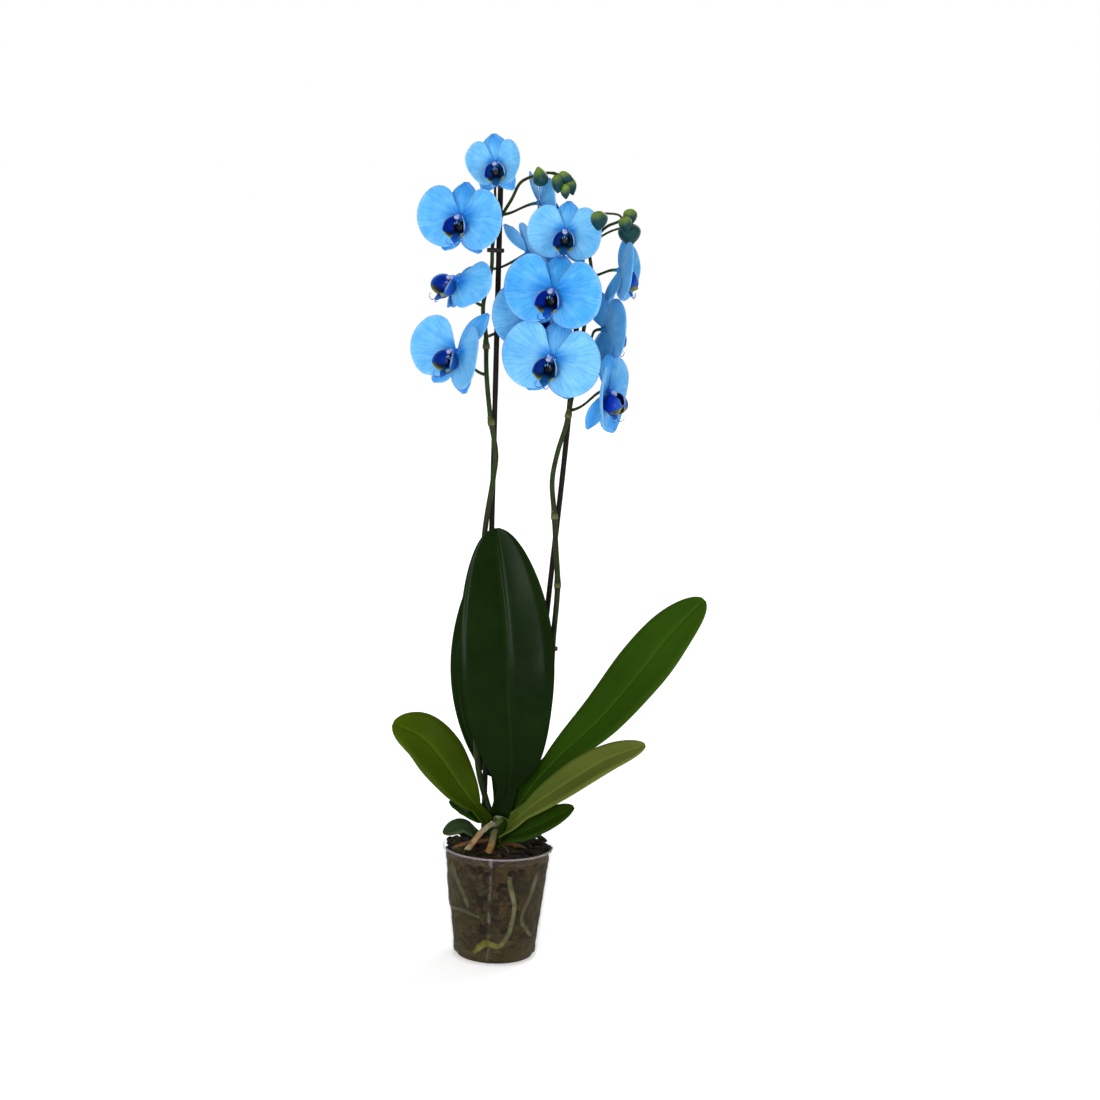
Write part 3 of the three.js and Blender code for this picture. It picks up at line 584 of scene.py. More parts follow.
def add_wall_chip(bm, k, chance):
    z = blend(0.007, BARK_RIM - 0.003, (k + 0.5) / WALL_CHIPS)
    angle = k * GOLDEN_ANGLE + chance.uniform(-0.1, 0.1)
    size = [chance.uniform(*span) for span in WALL_CHIP_SIZE]
    reach = pot_outside(z - size[2] / 2) - POT_WALL - 0.0008 - size[0] * 0.7 - size[1] ** 2 / 0.5
    lean = Matrix.Rotation(chance.uniform(-0.5, 0.5), 3, "X")
    turn = Matrix.Rotation(angle, 3, "Z") @ Matrix.Rotation(0.115, 3, "Y") @ lean
    mossy = max(0.7 * (1 - ease(z, 0.010, 0.040)), 0.5 * ease(-math.cos(angle), 0.2, 0.9))
    brown = blend(bark_brown(chance), BARK_MOSS, mossy)
    add_chip(bm, polar(reach, angle, z), turn, size, brown * chance.choice(WALL_SHADES), chance)


def add_top_chip(bm, k, chance):
    radius = TOP_CHIP_REACH * math.sqrt((k + 0.5) / TOP_CHIPS)
    angle = k * GOLDEN_ANGLE
    size = [chance.uniform(*span) for span in TOP_CHIP_SIZE]
    out = radius / 0.05
    height = blend(BARK_CROWN - 0.002, BARK_RIM + 0.0045, out ** 2) + chance.uniform(-0.003, 0.003)
    height += 0.0035 * max(0, math.cos(angle - 0.6), -math.cos(angle + 0.5)) * out ** 4
    spin = Euler((chance.uniform(-0.5, 0.5), chance.uniform(-0.5, 0.5), chance.uniform(0, 6.28)))
    if radius + size[0] / 2 > 0.056:
        spin.z = angle + math.pi / 2
    brown = bark_brown(chance) * chance.choice(TOP_SHADES)
    add_chip(bm, polar(radius, angle, height), spin.to_matrix(), size, brown, chance)


def build_bark():
    chance = random.Random(7)
    bm = new_mesh()
    profile = [(0, BARK_FLOOR), (0.041, BARK_FLOOR)]
    profile += [(pot_outside(z) - POT_WALL - 0.0024, z) for z in (0.008, *POT_LEVELS, 0.104, BARK_RIM)]
    profile += [(0.0556, 0.1150), (0.03, BARK_CROWN - 0.0035), (0, BARK_CROWN - 0.003)]
    add_turned(bm, profile, bark_brown(chance) * 0.36, 64)
    for k in range(WALL_CHIPS):
        add_wall_chip(bm, k, chance)
    for k in range(TOP_CHIPS):
        add_top_chip(bm, k, chance)
    finish_piece("bark_filling", bm, [BARK], ["bark_mix"])


# Crown and roots: what each root looks like, its radius, its way over the mix and its way down the wall
ROOTS = [
    ("pale", 0.0032, [(-0.002, -0.005, 0.144), (-0.008, -0.015, 0.146), (-0.017, -0.021, 0.140),
                      (-0.025, -0.024, 0.130), (-0.033, -0.027, 0.119)],
     [(-148, 0.104), (-142, 0.092), (-130, 0.076), (-124, 0.062)]),
    ("golden", 0.0038, [(-0.001, -0.005, 0.136), (-0.004, -0.016, 0.138), (-0.006, -0.025, 0.128),
                        (-0.010, -0.032, 0.117), (-0.012, -0.038, 0.108)], []),
    ("mossy", 0.0027, [(0.003, -0.005, 0.120), (0.012, -0.024, 0.116), (0.015, -0.042, 0.108)],
     [(-74, 0.096), (-66, 0.068), (-67, 0.050), (-72, 0.034), (-84, 0.022), (-100, 0.026), (-118, 0.013)]),
    ("plain", 0.0022, [(-0.004, -0.004, 0.128), (-0.020, -0.016, 0.128), (-0.035, -0.021, 0.126),
                       (-0.048, -0.022, 0.120)], []),
    ("plain", 0.0023, [(-0.006, 0.002, 0.118), (-0.028, 0.008, 0.113), (-0.044, 0.010, 0.104)],
     [(172, 0.088), (178, 0.070), (194, 0.056), (228, 0.058), (250, 0.054)]),
    ("plain", 0.0025, [(0.006, 0.001, 0.122), (0.026, -0.004, 0.119), (0.040, -0.018, 0.110)],
     [(-38, 0.098), (-44, 0.078), (-54, 0.052), (-42, 0.036), (-30, 0.028)]),
    ("plain", 0.0026, [(0.003, 0.006, 0.120), (0.014, 0.026, 0.116), (0.024, 0.040, 0.108)],
     [(52, 0.094), (66, 0.072), (58, 0.046), (84, 0.028), (110, 0.020)]),
    ("plain", 0.0024, [(-0.005, 0.004, 0.119), (-0.027, 0.017, 0.115), (-0.040, 0.024, 0.107)],
     [(140, 0.092), (122, 0.068), (136, 0.044), (126, 0.024)]),
]
ROOT_SUNK_BELOW = 0.117
CROWN = [(0, 0, 0.106), (0, 0, 0.118), (0, 0, 0.13), (0, 0, 0.142), (0, 0, 0.153)]
CROWN_RADIUS = 0.0088
CROWN_LOW = rgb(92, 84, 58)
CROWN_HIGH = rgb(72, 92, 42)
SILVER = rgb(150, 152, 128)
OLIVE = rgb(80, 82, 38)
MOSS = rgb(98, 102, 34)
TAN = rgb(150, 112, 68)
PALE_TIP = rgb(186, 176, 150)
GOLDEN = rgb(140, 96, 38)


def root_path(radius, over, wall):
    points = [Vector(point) for point in over]
    for degrees, z in wall:
        points.append(polar(pot_outside(z) - POT_WALL - 0.0003 - radius, math.radians(degrees), z))
    return Path(points)


def root_colour(look, number, place, t):
    """Silver, golden or brown over the mix, and dull olive, or mossy towards its tip, under it"""
    patch = 0.5 + 0.5 * noise.noise(place * 60 + Vector((0, number, 0)))
    if place.z > ROOT_SUNK_BELOW:
        if look == "pale":
            ripe = blend(TAN, SILVER, ease(place.z, 0.132, 0.149))
            return blend(blend(PALE_TIP, ripe, ease(place.z, 0.119, 0.128)), SILVER, 0.3 * patch)
        if look == "golden":
            return blend(blend(GOLDEN, OLIVE, ease(place.z, 0.122, 0.135)), SILVER, 0.3 * patch)
        return TAN * 0.5
    sunk = blend(OLIVE, blend(SILVER, OLIVE, 0.5), patch) * 0.75
    return blend(sunk, MOSS, ease(t, 0.72, 0.85)) if look == "mossy" else sunk * 0.6


def build_crown():
    bm = new_mesh()
    add_tube(bm, Path(CROWN),
             lambda t: (CROWN_RADIUS - 0.0012 * abs(math.sin(12 * t))) * (1 - 0.55 * ease(t, 0.86, 1)),
             lambda t: blend(CROWN_LOW, CROWN_HIGH, t), sides=8, steps=40)
    for number, (look, radius, over, wall) in enumerate(ROOTS):
        path = root_path(radius, over, wall)

        def thick(t):
            wobble = 0.09 * noise.noise(path.at(t) * 95 + Vector((number, 0, 0)))
            end = 1 - 0.45 * ease(t, 0.94, 1) if wall else 1
            swell = 0.45 * ease(t, 0.76, 0.9) if look == "mossy" else 0
            return radius * (1 + wobble + swell) * end
        add_tube(bm, path, thick, lambda t: root_colour(look, number, path.at(t), t), sides=5)
    finish_piece("crown_and_roots", bm, [ROOT], ["crown_with_roots"])


# Sheaths: old leaf bases round the crown, each with its angle in degrees, its height and how far it opens
SHEATHS = [(-62, 0.034, 0.0040), (-150, 0.026, 0.0035), (-108, 0.022, 0.0015), (-20, 0.030, 0.0050),
           (60, 0.028, 0.0040), (150, 0.026, 0.0045)]
SHEATH_FOOT = 0.117
SHEATH_RADIUS = 0.0098
SHEATH_SPAN = 66
SHEATH_THICKNESS = 0.0010
SHEATH_LOW = rgb(74, 72, 30)
SHEATH_HIGH = rgb(30, 50, 10)


def build_sheaths():
    bm = new_mesh()
    for degrees, height, opening in SHEATHS:
        def shape(u, v):
            angle = math.radians(degrees + (2 * u - 1) * SHEATH_SPAN * (1 - v ** 2.4))
            return polar(SHEATH_RADIUS + opening * v ** 2, angle, SHEATH_FOOT + height * v)
        add_sheet(bm, 14, 16, shape, lambda u, v: blend(SHEATH_LOW, SHEATH_HIGH, ease(v, 0.05, 0.6)))
    sheaths = finish_piece("crown_sheaths", bm, [LEAF], ["crown_with_roots"])
    thicken(sheaths, SHEATH_THICKNESS)


# Leaves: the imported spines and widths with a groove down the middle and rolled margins
LEAVES = {
    "leaf_1_upright": dict(
        width=0.100, face=(0.05, -1, 0.12), neck=0.1, base=0.021, fold=0.1,
        dark=rgb(6, 20, 2), light=rgb(16, 34, 6),
        spine=[(0.001, -0.006, 0.1545), (0.008, -0.010, 0.186), (0.0115, -0.014, 0.215),
               (0.006, -0.018, 0.280), (0.001, -0.018, 0.350), (-0.014, -0.011, 0.464)]),
    "leaf_2_rear": dict(
        width=0.084, face=(-0.1, -1, 0.15), neck=0.15, base=0.014, fold=0.12,
        dark=rgb(8, 25, 1), light=rgb(18, 40, 4),
        spine=[(0.001, 0.010, 0.149), (0, 0.022, 0.168), (-0.008, 0.031, 0.215), (-0.017, 0.034, 0.300),
               (-0.014, 0.028, 0.432)]),
    "leaf_3_long_right": dict(
        width=0.066, face=(-0.52, -0.74, 0.43), neck=0.1, base=0.030, fold=0.16, widest=0.66,
        dark=rgb(16, 42, 3), light=rgb(56, 86, 16),
        spine=[(0.0106, -0.001, 0.148), (0.034, -0.003, 0.186), (0.063, -0.004, 0.221),
               (0.107, -0.005, 0.267), (0.147, -0.004, 0.319), (0.177, -0.002, 0.359), (0.210, 0, 0.395)]),
    "leaf_4_low_right": dict(
        width=0.046, face=(-0.5, -0.5, 0.7), neck=0.11, base=0.028, fold=0.18, widest=0.55,
        dark=rgb(58, 78, 22), light=rgb(110, 116, 54),
        spine=[(0.0084, -0.0106, 0.140), (0.020, -0.027, 0.156), (0.040, -0.039, 0.177),
               (0.075, -0.051, 0.206), (0.111, -0.062, 0.232), (0.150, -0.070, 0.250)]),
    "leaf_5_small_right": dict(
        width=0.034, face=(-0.4, -0.5, 0.77), neck=0.15, base=0.010, fold=0.25, widest=0.55,
        dark=rgb(22, 44, 4), light=rgb(40, 64, 10),
        spine=[(0.0036, -0.011, 0.1255), (0.014, -0.030, 0.138), (0.031, -0.044, 0.149),
               (0.052, -0.056, 0.163), (0.079, -0.064, 0.180)]),
    "leaf_6_left": dict(
        width=0.062, face=(0.5, -0.72, 0.48), neck=0.12, base=0.015, fold=0.14, widest=0.58,
        dark=rgb(7, 24, 0), light=rgb(74, 94, 12),
        spine=[(-0.0114, -0.004, 0.144), (-0.024, -0.009, 0.162), (-0.043, -0.015, 0.189),
               (-0.065, -0.020, 0.220), (-0.085, -0.024, 0.241), (-0.115, -0.026, 0.254)]),
    "leaf_7_old_left": dict(
        width=0.028, face=(0.1, -0.25, 1), neck=0.15, base=0.009, fold=0.15,
        dark=rgb(34, 52, 28), light=rgb(64, 80, 52),
        spine=[(-0.0112, -0.004, 0.124), (-0.024, -0.008, 0.134), (-0.040, -0.012, 0.143),
               (-0.058, -0.018, 0.135)]),
    "leaf_8_low_left": dict(
        width=0.032, face=(0.2, -0.4, 0.9), neck=0.15, base=0.008, fold=0.15,
        dark=rgb(18, 42, 6), light=rgb(32, 60, 12),
        spine=[(-0.011, 0.0015, 0.138), (-0.024, 0.003, 0.153), (-0.038, 0.007, 0.161),
               (-0.054, 0.010, 0.164)]),
}
LEAF_THICKNESS = 0.0016
LEAF_SHOULDER = 0.48
LEAF_NECK = 0.06  # the share of the sheet that is the bare neck


def build_leaf(name, width, face, neck, base, fold, dark, light, spine, widest=0.5):
    path = Path(spine)
    face = Vector(face)
    skew = math.log(0.5) / math.log(widest)
    seed = Vector((len(name), width * 100, 0))

    def shape(u, v):
        bare = clamp(v / LEAF_NECK)
        along = (1 - math.cos(math.pi * clamp((v - LEAF_NECK) / (1 - LEAF_NECK)))) / 2
        t = blend(0, neck, bare) if v < LEAF_NECK else blend(neck, 1, along)
        bulge = math.sin(math.pi * min(along, 0.998) ** skew) ** LEAF_SHOULDER
        reach = max(base / 2 * (1 - along), width / 2 * bulge)
        heading = path.heading(t)
        side = heading.cross(face).normalized()
        up = side.cross(heading).normalized()
        across = 2 * u - 1
        spot = path.at(t) + side * across * reach
        groove = -0.0009 * math.exp(-(across / 0.07) ** 2) * bare
        cup = abs(across) ** 1.5 * reach * fold + (1 - bare) * 0.15 * base * across ** 2
        roll = -0.0022 * ease(abs(across), 0.8, 1) * bulge
        wave = 0.0014 * noise.noise(Vector((across * 1.1, t * 5, 0)) + seed) * abs(across) * bulge
        return spot + up * (cup + groove + roll + wave)

    def tint(u, v):
        across = abs(2 * u - 1)
        patch = 0.5 + 0.5 * noise.noise(Vector((u * 2, v * 4, 3)) + seed)
        green = blend(dark, light, clamp(0.05 + 0.45 * v + 0.45 * patch + 0.2 * ease(across, 0.82, 1)))
        return blend(green, light * 1.6, 0.6 * math.exp(-(across / 0.035) ** 2) * (1 - 0.5 * v))
    bm = new_mesh()
    add_sheet(bm, 36, 90, shape, tint)
    thicken(finish_piece(f"{name}_blade", bm, [LEAF], [name]), LEAF_THICKNESS)


for leaf_name, leaf_form in LEAVES.items():
    build_leaf(leaf_name, **leaf_form)
build_pot()
build_bark()
build_crown()
build_sheaths()


# Stakes and stems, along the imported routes
STAKE_RADIUS = 0.0029
STAKE_COLOUR = rgb(30, 24, 20)
STEM_RADIUS = 0.0030
STEM_TIP = 0.0014
PEDICEL_RADIUS = 0.0015
TWIG_RADIUS = 0.0012
STAKES = {
    "left": Path([(-0.016, 0.023, 0.022), (-0.018, 0.0155, 0.330), (-0.022, 0.0085, 0.824)]),
    "right": Path([(0.020, 0.028, 0.022), (0.044, 0.020, 0.383), (0.057, 0.015, 0.562),
                   (0.066, 0.010, 0.748)]),
}
STEMS = {
    "left": Path([
        (-0.0075, 0.009, 0.147), (-0.015, 0.011, 0.167), (-0.025, 0.009, 0.206), (-0.029, 0.008, 0.300),
        (-0.027, 0.007, 0.400), (-0.026, 0.007, 0.458), (-0.019, 0.005, 0.515), (-0.017, 0.0045, 0.540),
        (-0.024, 0.0055, 0.578), (-0.030, 0.008, 0.625), (-0.032, 0.008, 0.665), (-0.036, 0.008, 0.695),
        (-0.0285, 0.0075, 0.735), (-0.028, 0.0095, 0.762), (-0.021, 0.016, 0.788), (-0.010, 0.014, 0.808),
        (-0.001, 0.008, 0.825), (0.014, 0.003, 0.832), (0.030, 0, 0.835), (0.040, -0.001, 0.831)]),
    "right": Path([
        (0.0082, 0.0076, 0.144), (0.020, 0.015, 0.178), (0.038, 0.017, 0.232), (0.049, 0.016, 0.290),
        (0.051, 0.015, 0.345), (0.0535, 0.012, 0.402), (0.050, 0.009, 0.445), (0.047, 0.009, 0.480),
        (0.0435, 0.009, 0.515), (0.048, 0.008, 0.545), (0.056, 0.006, 0.575), (0.061, 0.007, 0.605),
        (0.068, 0.011, 0.655), (0.074, 0.013, 0.705), (0.0765, 0.013, 0.735), (0.074, 0.012, 0.758),
        (0.083, 0.010, 0.7755), (0.0915, 0.008, 0.7835), (0.102, 0.005, 0.788), (0.109, 0.003, 0.793),
        (0.1135, 0.001, 0.7975)]),
}
RINGS = {"left": [0.425, 0.575, 0.655], "right": [0.405, 0.478, 0.586]}
STEM_LOW = rgb(32, 48, 14)
STEM_HIGH = rgb(50, 70, 22)
STEM_DARK = rgb(22, 28, 10)
BRACT = rgb(86, 88, 54)


# Blooms, from the lowest upwards on each stem
DORSAL = (0.038, 0.030)
LATERAL = (0.043, 0.027)
LATERAL_AROUND = 150


def grown(**own):
    """A bloom, with its angles in degrees, from its own values and the usual ones

    node is the height at which its stalk leaves the stem, and leave the way that it goes. at is the hub,
    turned to the right by turn, lifted by lift and rolled clockwise by roll. The petals cup forwards, the
    sepals reflex backwards, and pale and teal set the colour. The upper sepal leans aside and twists, and
    the lip is closed by some degrees and turned by lip_turn. left and right hold what side_form changes.
    """
    usual = dict(lift=0, roll=0, size=1.0, teal=0, twist=0, lean=0, closed=0, lip_turn=0, dorsal=DORSAL,
                 lateral_reflex=own["reflex"] / 2, left={}, right={})
    return usual | own


BLOOMS = {
    "left": [
        grown(node=0.624, at=(-0.061, -0.017, 0.647), turn=-35, roll=15, cup=24, reflex=12, lateral_reflex=-6,
              left=dict(spread=(-99, 64), fold=0.024), lean=22, dorsal=(0.050, 0.022), leave=(-1, 0.1, 0.1),
              pale=0.5),
        # Its pale of 0.6 is partly painted light: this bloom stands in the shade of the bloom in front
        grown(node=0.664, at=(0.016, 0.018, 0.690), turn=25, roll=-4, size=0.96, cup=6, reflex=12,
              leave=(0.3, 1, 0), pale=0.6),
        grown(node=0.696, at=(-0.063, -0.011, 0.721), turn=-42, lift=10, roll=25, size=0.97, cup=-4,
              reflex=40, lateral_reflex=26, left=dict(cup=-48, spread=(-70, 10)),
              right=dict(droop=0.3, lateral=(0.028, 0.018)), lean=10, dorsal=(0.030, 0.020),
              leave=(-1, 0.1, 0.2), pale=0.35),
        grown(node=0.735, at=(0.009, 0.058, 0.756), turn=100, lift=32, cup=8, reflex=8, twist=16,
              leave=(0.2, 1, 0), pale=0.35),
        grown(node=0.766, at=(-0.0615, -0.012, 0.7855), turn=-16, lift=-5, roll=4, size=0.94, cup=6,
              reflex=14, leave=(-0.6, -0.5, 0.5), pale=0.3),
        grown(node=0.792, at=(0.019, 0.034, 0.807), turn=92, lift=9, size=0.86, cup=22, reflex=6,
              left=dict(spread=(-84, 45)), twist=-18, leave=(0.6, 0.7, 0.1), pale=0.3, teal=0.4),
        grown(node=0.785, at=(-0.027, -0.022, 0.840), turn=-4, lift=-6, roll=-6, size=0.72, cup=34, reflex=8,
              left=dict(droop=0.16), right=dict(droop=0.16), dorsal=(0.041, 0.036), leave=(-0.4, 0.35, 1),
              pale=0.75)],
    "right": [
        grown(node=0.590, at=(0.098, 0.004, 0.611), turn=42, lift=-8, roll=-10, cup=-18, reflex=10,
              lateral_reflex=6, left=dict(cup=39, lateral=(0.043, 0.024), around=154),
              right=dict(lateral=(0.054, 0.034), around=156), closed=66, lip_turn=-6, lean=18,
              leave=(1, 0.2, 0.1), pale=0.3),
        grown(node=0.640, at=(0.038, -0.016, 0.644), turn=-14, lift=-6, roll=11, size=1.07, cup=4, reflex=20,
              leave=(-0.4, -1, 0.2), pale=0.75),
        grown(node=0.662, at=(0.0935, 0.050, 0.677), turn=104, lift=2, cup=13, reflex=8, left=dict(twirl=40),
              twist=34, dorsal=(0.040, 0.036), leave=(1, 0.5, 0.1), pale=0.15, teal=0.75),
        grown(node=0.712, at=(0.037, -0.030, 0.713), turn=-14, lift=-6, roll=8, size=1.05, cup=4, reflex=30,
              leave=(-0.4, -1, 0.1), pale=0.1),
        grown(node=0.731, at=(0.106, 0.006, 0.738), turn=84, lift=-4, size=0.9, cup=21, reflex=-8,
              lateral_reflex=3, left=dict(twirl=40), twist=24, leave=(1, 0, 0.2), pale=0.15, teal=0.6),
        grown(node=0.762, at=(0.048, -0.008, 0.7752), turn=-6, lift=-8, roll=3, size=0.82, cup=20, reflex=18,
              lateral_reflex=3, leave=(-0.6, -0.8, 0.4), pale=0.7)],
}
HUB = 0.004
PETAL_LENGTH = 0.050
PETAL_SPREAD = (-84, 66)
PETAL_SHOULDER = 0.17
PETAL_THICKNESS = 0.0009
SEPAL_BEHIND = 0.0009
AZURE = rgb(60, 150, 210)
DEEP = rgb(12, 122, 200)
SKY = rgb(126, 186, 220)
MARGIN = rgb(138, 180, 228)
LILAC = rgb(132, 172, 234)
TEAL = rgb(44, 122, 150)
SEPAL_TIP = rgb(28, 122, 198)
ROYAL = rgb(10, 42, 166)
NAVY = rgb(2, 13, 38)
OLIVE_TIP = rgb(128, 130, 62)
OLIVE_BAND = rgb(62, 66, 44)
LAVENDER = rgb(170, 190, 228)
LIP_TEAL = rgb(18, 82, 108)
MIDLOBE = rgb(14, 76, 178)
KNOB = rgb(160, 160, 188)


def ellipsoid(frame_at, place, radii):
    """Where the points of a ball go that has its place in a bloom and three radii"""
    return lambda d: frame_at @ (place + Vector((d.x * radii[0], d.y * radii[1], d.z * radii[2])))


def facing(bloom):
    turn = math.radians(bloom["turn"])
    lift = math.radians(bloom["lift"])
    return Vector((math.sin(turn) * math.cos(lift), -math.cos(turn) * math.cos(lift), math.sin(lift)))


def bloom_matrix(bloom):
    forward = facing(bloom)
    right = polar(1, math.radians(bloom["turn"]), 0)
    turn = Matrix((right, forward.cross(right), forward)).transposed().to_4x4()
    roll = turned(-bloom["roll"], "Z", 4)
    return Matrix.Translation(bloom["at"]) @ turn @ roll @ Matrix.Scale(bloom["size"], 4)


def petal_colour(bloom, v, low, aside=0):
    """Deep at the claw, paler outwards, with pale margins and a lilac tinge low down"""
    middle = blend(AZURE, SKY, bloom["pale"])
    colour = blend(DEEP, middle, ease(v, 0.02, 0.5 - 0.25 * bloom["pale"]))
    colour = blend(colour, LILAC, 0.35 * ease(low, 0.6, 1) * v)
    colour = blend(colour, TEAL, bloom["teal"] * (1 - 0.7 * v))
    edge = max(0.55 * ease(v, 0.9, 1), 0.3 * ease(aside, 0.9, 1) * ease(v, 0.1, 0.5))
    return blend(colour, MARGIN, edge)


def side_form(bloom, side):
    """The form of a petal and of the low sepal on its side, in degrees, metres and shares

    The petal has its cup, the spread of its angles, how much droop draws its low half in, and the depth
    below the hub at which it folds. The sepal has its size, its angle around the hub and its twirl.
    """
    usual = dict(cup=bloom["cup"], spread=PETAL_SPREAD, droop=0, fold=1, lateral=LATERAL,
                 around=LATERAL_AROUND, twirl=0)
    return usual | bloom["left" if side < 0 else "right"]


def add_petal(bm, bloom, side, frame_at):
    own = side_form(bloom, side)
    seed = Vector((*bloom["at"][:2], side)) * 30
    roll = math.radians(bloom["roll"])
    upright = Vector((-math.sin(roll), math.cos(roll), 0))

    def angle_of(u):
        return math.radians(blend(*own["spread"], u if side < 0 else 1 - u))

    def shape(u, v):
        angle = angle_of(u)
        reach = blend(0.09, 1, v ** 0.9)
        scallop = 1 + 0.012 * noise.noise(Vector((angle * 2.2, side, 0)) + seed) * reach ** 3
        short = 1 - own["droop"] * ease(-angle, -0.35, 0.52) * reach
        inner = clamp((1 - u if side < 0 else u) / PETAL_SHOULDER)
        rounded = 1 - 0.26 * (1 - math.sqrt(inner * (2 - inner)))
        radius = PETAL_LENGTH * reach * short * math.cos(0.9 * angle) ** 0.45 * scallop * rounded
        out = radius * math.cos(angle)
        wave = 0.0012 * reach ** 2 * math.sin(2.5 * angle + side) - 0.0022 * reach ** 3
        wave += 0.0016 * noise.noise(Vector((angle * 1.8, reach * 1.5, 5)) + seed) * reach ** 2
        wave += 0.0009 * math.exp(-((angle + 0.1) / 0.1) ** 2) * reach * (1 - reach)
        lean = math.radians(own["cup"]) * blend(0.45, 1.14, reach)
        spot = Vector((side * (out * math.cos(lean) - wave * math.sin(lean)), radius * math.sin(angle),
                       out * math.sin(lean) + wave * math.cos(lean) + 0.0004))
        below = max(0, -own["fold"] - spot.dot(upright))
        return frame_at @ (spot + upright * 0.7 * below - Vector((0, 0, 0.85 * below)))

    def tint(u, v):
        return petal_colour(bloom, v, clamp(-angle_of(u) / 1.4), abs(2 * u - 1))
    add_sheet(bm, 40, 26, shape, tint, (68, 1))


def add_sepal(bm, bloom, size, turn, frame_at):
    length, width = size

    def shape(u, v):
        across = 2 * u - 1
        reach = width / 2 * max(math.sin(math.pi * min(v, 0.995) ** 1.15) ** 0.7, 0.1 + 0.2 * ease(v, 0, 0.2))
        reach *= 1 if v < 0.97 else 0.6
        height = 0.0015 * math.sin(math.pi * v) - 0.0024 * across ** 2 * reach / (width / 2) - 0.002 * v ** 4
        height -= 0.0005 * math.exp(-(across / 0.08) ** 2)
        return frame_at @ (turn @ Vector((across * reach, 0.0015 + length * v, height))
                           - Vector((0, 0, SEPAL_BEHIND)))

    def tint(u, v):
        colour = blend(petal_colour(bloom, v, 0.3, abs(2 * u - 1)), AZURE, 0.4)
        return blend(colour, SEPAL_TIP, 0.75 * ease(v, 0.4, 1) * (1 - abs(2 * u - 1) ** 4))
    add_sheet(bm, 16, 24, shape, tint, (26, 1))


def build_tepals(name, bloom, frame_at):
    bm = new_mesh()
    back = turned(-bloom["reflex"], "X") @ turned(bloom["twist"], "Y")
    add_sepal(bm, bloom, bloom["dorsal"], turned(-bloom["lean"], "Z") @ back, frame_at)
    low = turned(-4 - bloom["lateral_reflex"], "X")
    for side in (-1, 1):
        own = side_form(bloom, side)
        turn = turned(-side * own["around"], "Z") @ low @ turned(side * own["twirl"], "Y")
        add_sepal(bm, bloom, own["lateral"], turn, frame_at)
        add_petal(bm, bloom, side, frame_at)
    tepals = finish_piece(f"{name}_tepals", bm, [PETAL, PETAL_BACK], [f"{name}_petals"])
    thicken(tepals, PETAL_THICKNESS * bloom["size"], back=1)
    hub = new_mesh()
    tint = petal_colour(bloom, 0, 0)
    hub_radii = (HUB * 0.85, HUB * 0.85, HUB * 0.935)
    add_ball(hub, ellipsoid(frame_at, Vector((0, 0, -0.0014)), hub_radii), lambda d: tint)
    finish_piece(f"{name}_hub", hub, [PETAL], [f"{name}_petals"])


# Lip and column in metres of a bloom of size 1; they shrink less than the petals in the small blooms
LIP_CENTRE = Vector((0, -0.0098, 0.0146))
LIP_REACH = Vector((0.0126, 0.0116, 0.0131))
LIP_THICKNESS = 0.0009
LOBE_SPAN = (16, 154)
MIDLOBE_ROUTE = [(0, -0.0130, 0.0040), (0, -0.0190, 0.0100), (0, -0.0240, 0.0155), (0, -0.0272, 0.0170)]
THROAT = Vector((0.0054, 0.0056, 0.0014))
CALLUS = Vector((0.0012, 0.0024, 0.0042))
CALLUS_DARK = rgb(8, 24, 60)
# The callus's pale front, partly its own colour and partly a painted highlight
CALLUS_PALE_AND_HIGHLIGHT = rgb(120, 160, 200)
TENDRIL = [(0.0006, -0.0262, 0.0166), (0.0026, -0.0288, 0.0175), (0.0060, -0.0282, 0.0192),
           (0.0074, -0.0250, 0.0200), (0.0052, -0.0228, 0.0198)]
TENDRIL_RADIUS = 0.0005
TENDRIL_BLUE = rgb(30, 84, 176)
COLUMN_ROUTE = [(0, 0.0014, 0.0026), (0, 0.0014, 0.0075), (0, 0.0002, 0.0122)]
COLUMN_FOOT = rgb(40, 110, 215)
CAP = Vector((0, -0.0004, 0.0128))
CAP_RADII = (0.0028, 0.0024, 0.0024)
CAP_SHADE = rgb(120, 130, 176)


def lip_point(side, u, v, closed):
    """A side lobe of the lip: u runs from its foot up to the column, v from the throat to its rim"""
    around = math.radians(blend(*LOBE_SPAN, u))
    tooth = 14 * math.exp(-((u - 0.2) / 0.09) ** 2)
    rim = 64 + closed + 56 * math.sin(math.pi * clamp(0.06 + 0.9 * u)) ** 0.7 + tooth
    away = math.radians(blend(16, rim, v))
    corner = 1 + 0.09 * math.exp(-((u - 0.32) / 0.14) ** 2) - 0.16 * ease(u, 0.5, 1)
    flare = 1 + 0.08 * ease(v, 0.8, 1)
    return LIP_CENTRE + Vector((side * LIP_REACH.x * math.sin(around) * math.sin(away) * flare * corner,
                                -LIP_REACH.y * math.cos(around) * math.sin(away) * flare,
                                -LIP_REACH.z * math.cos(away)))


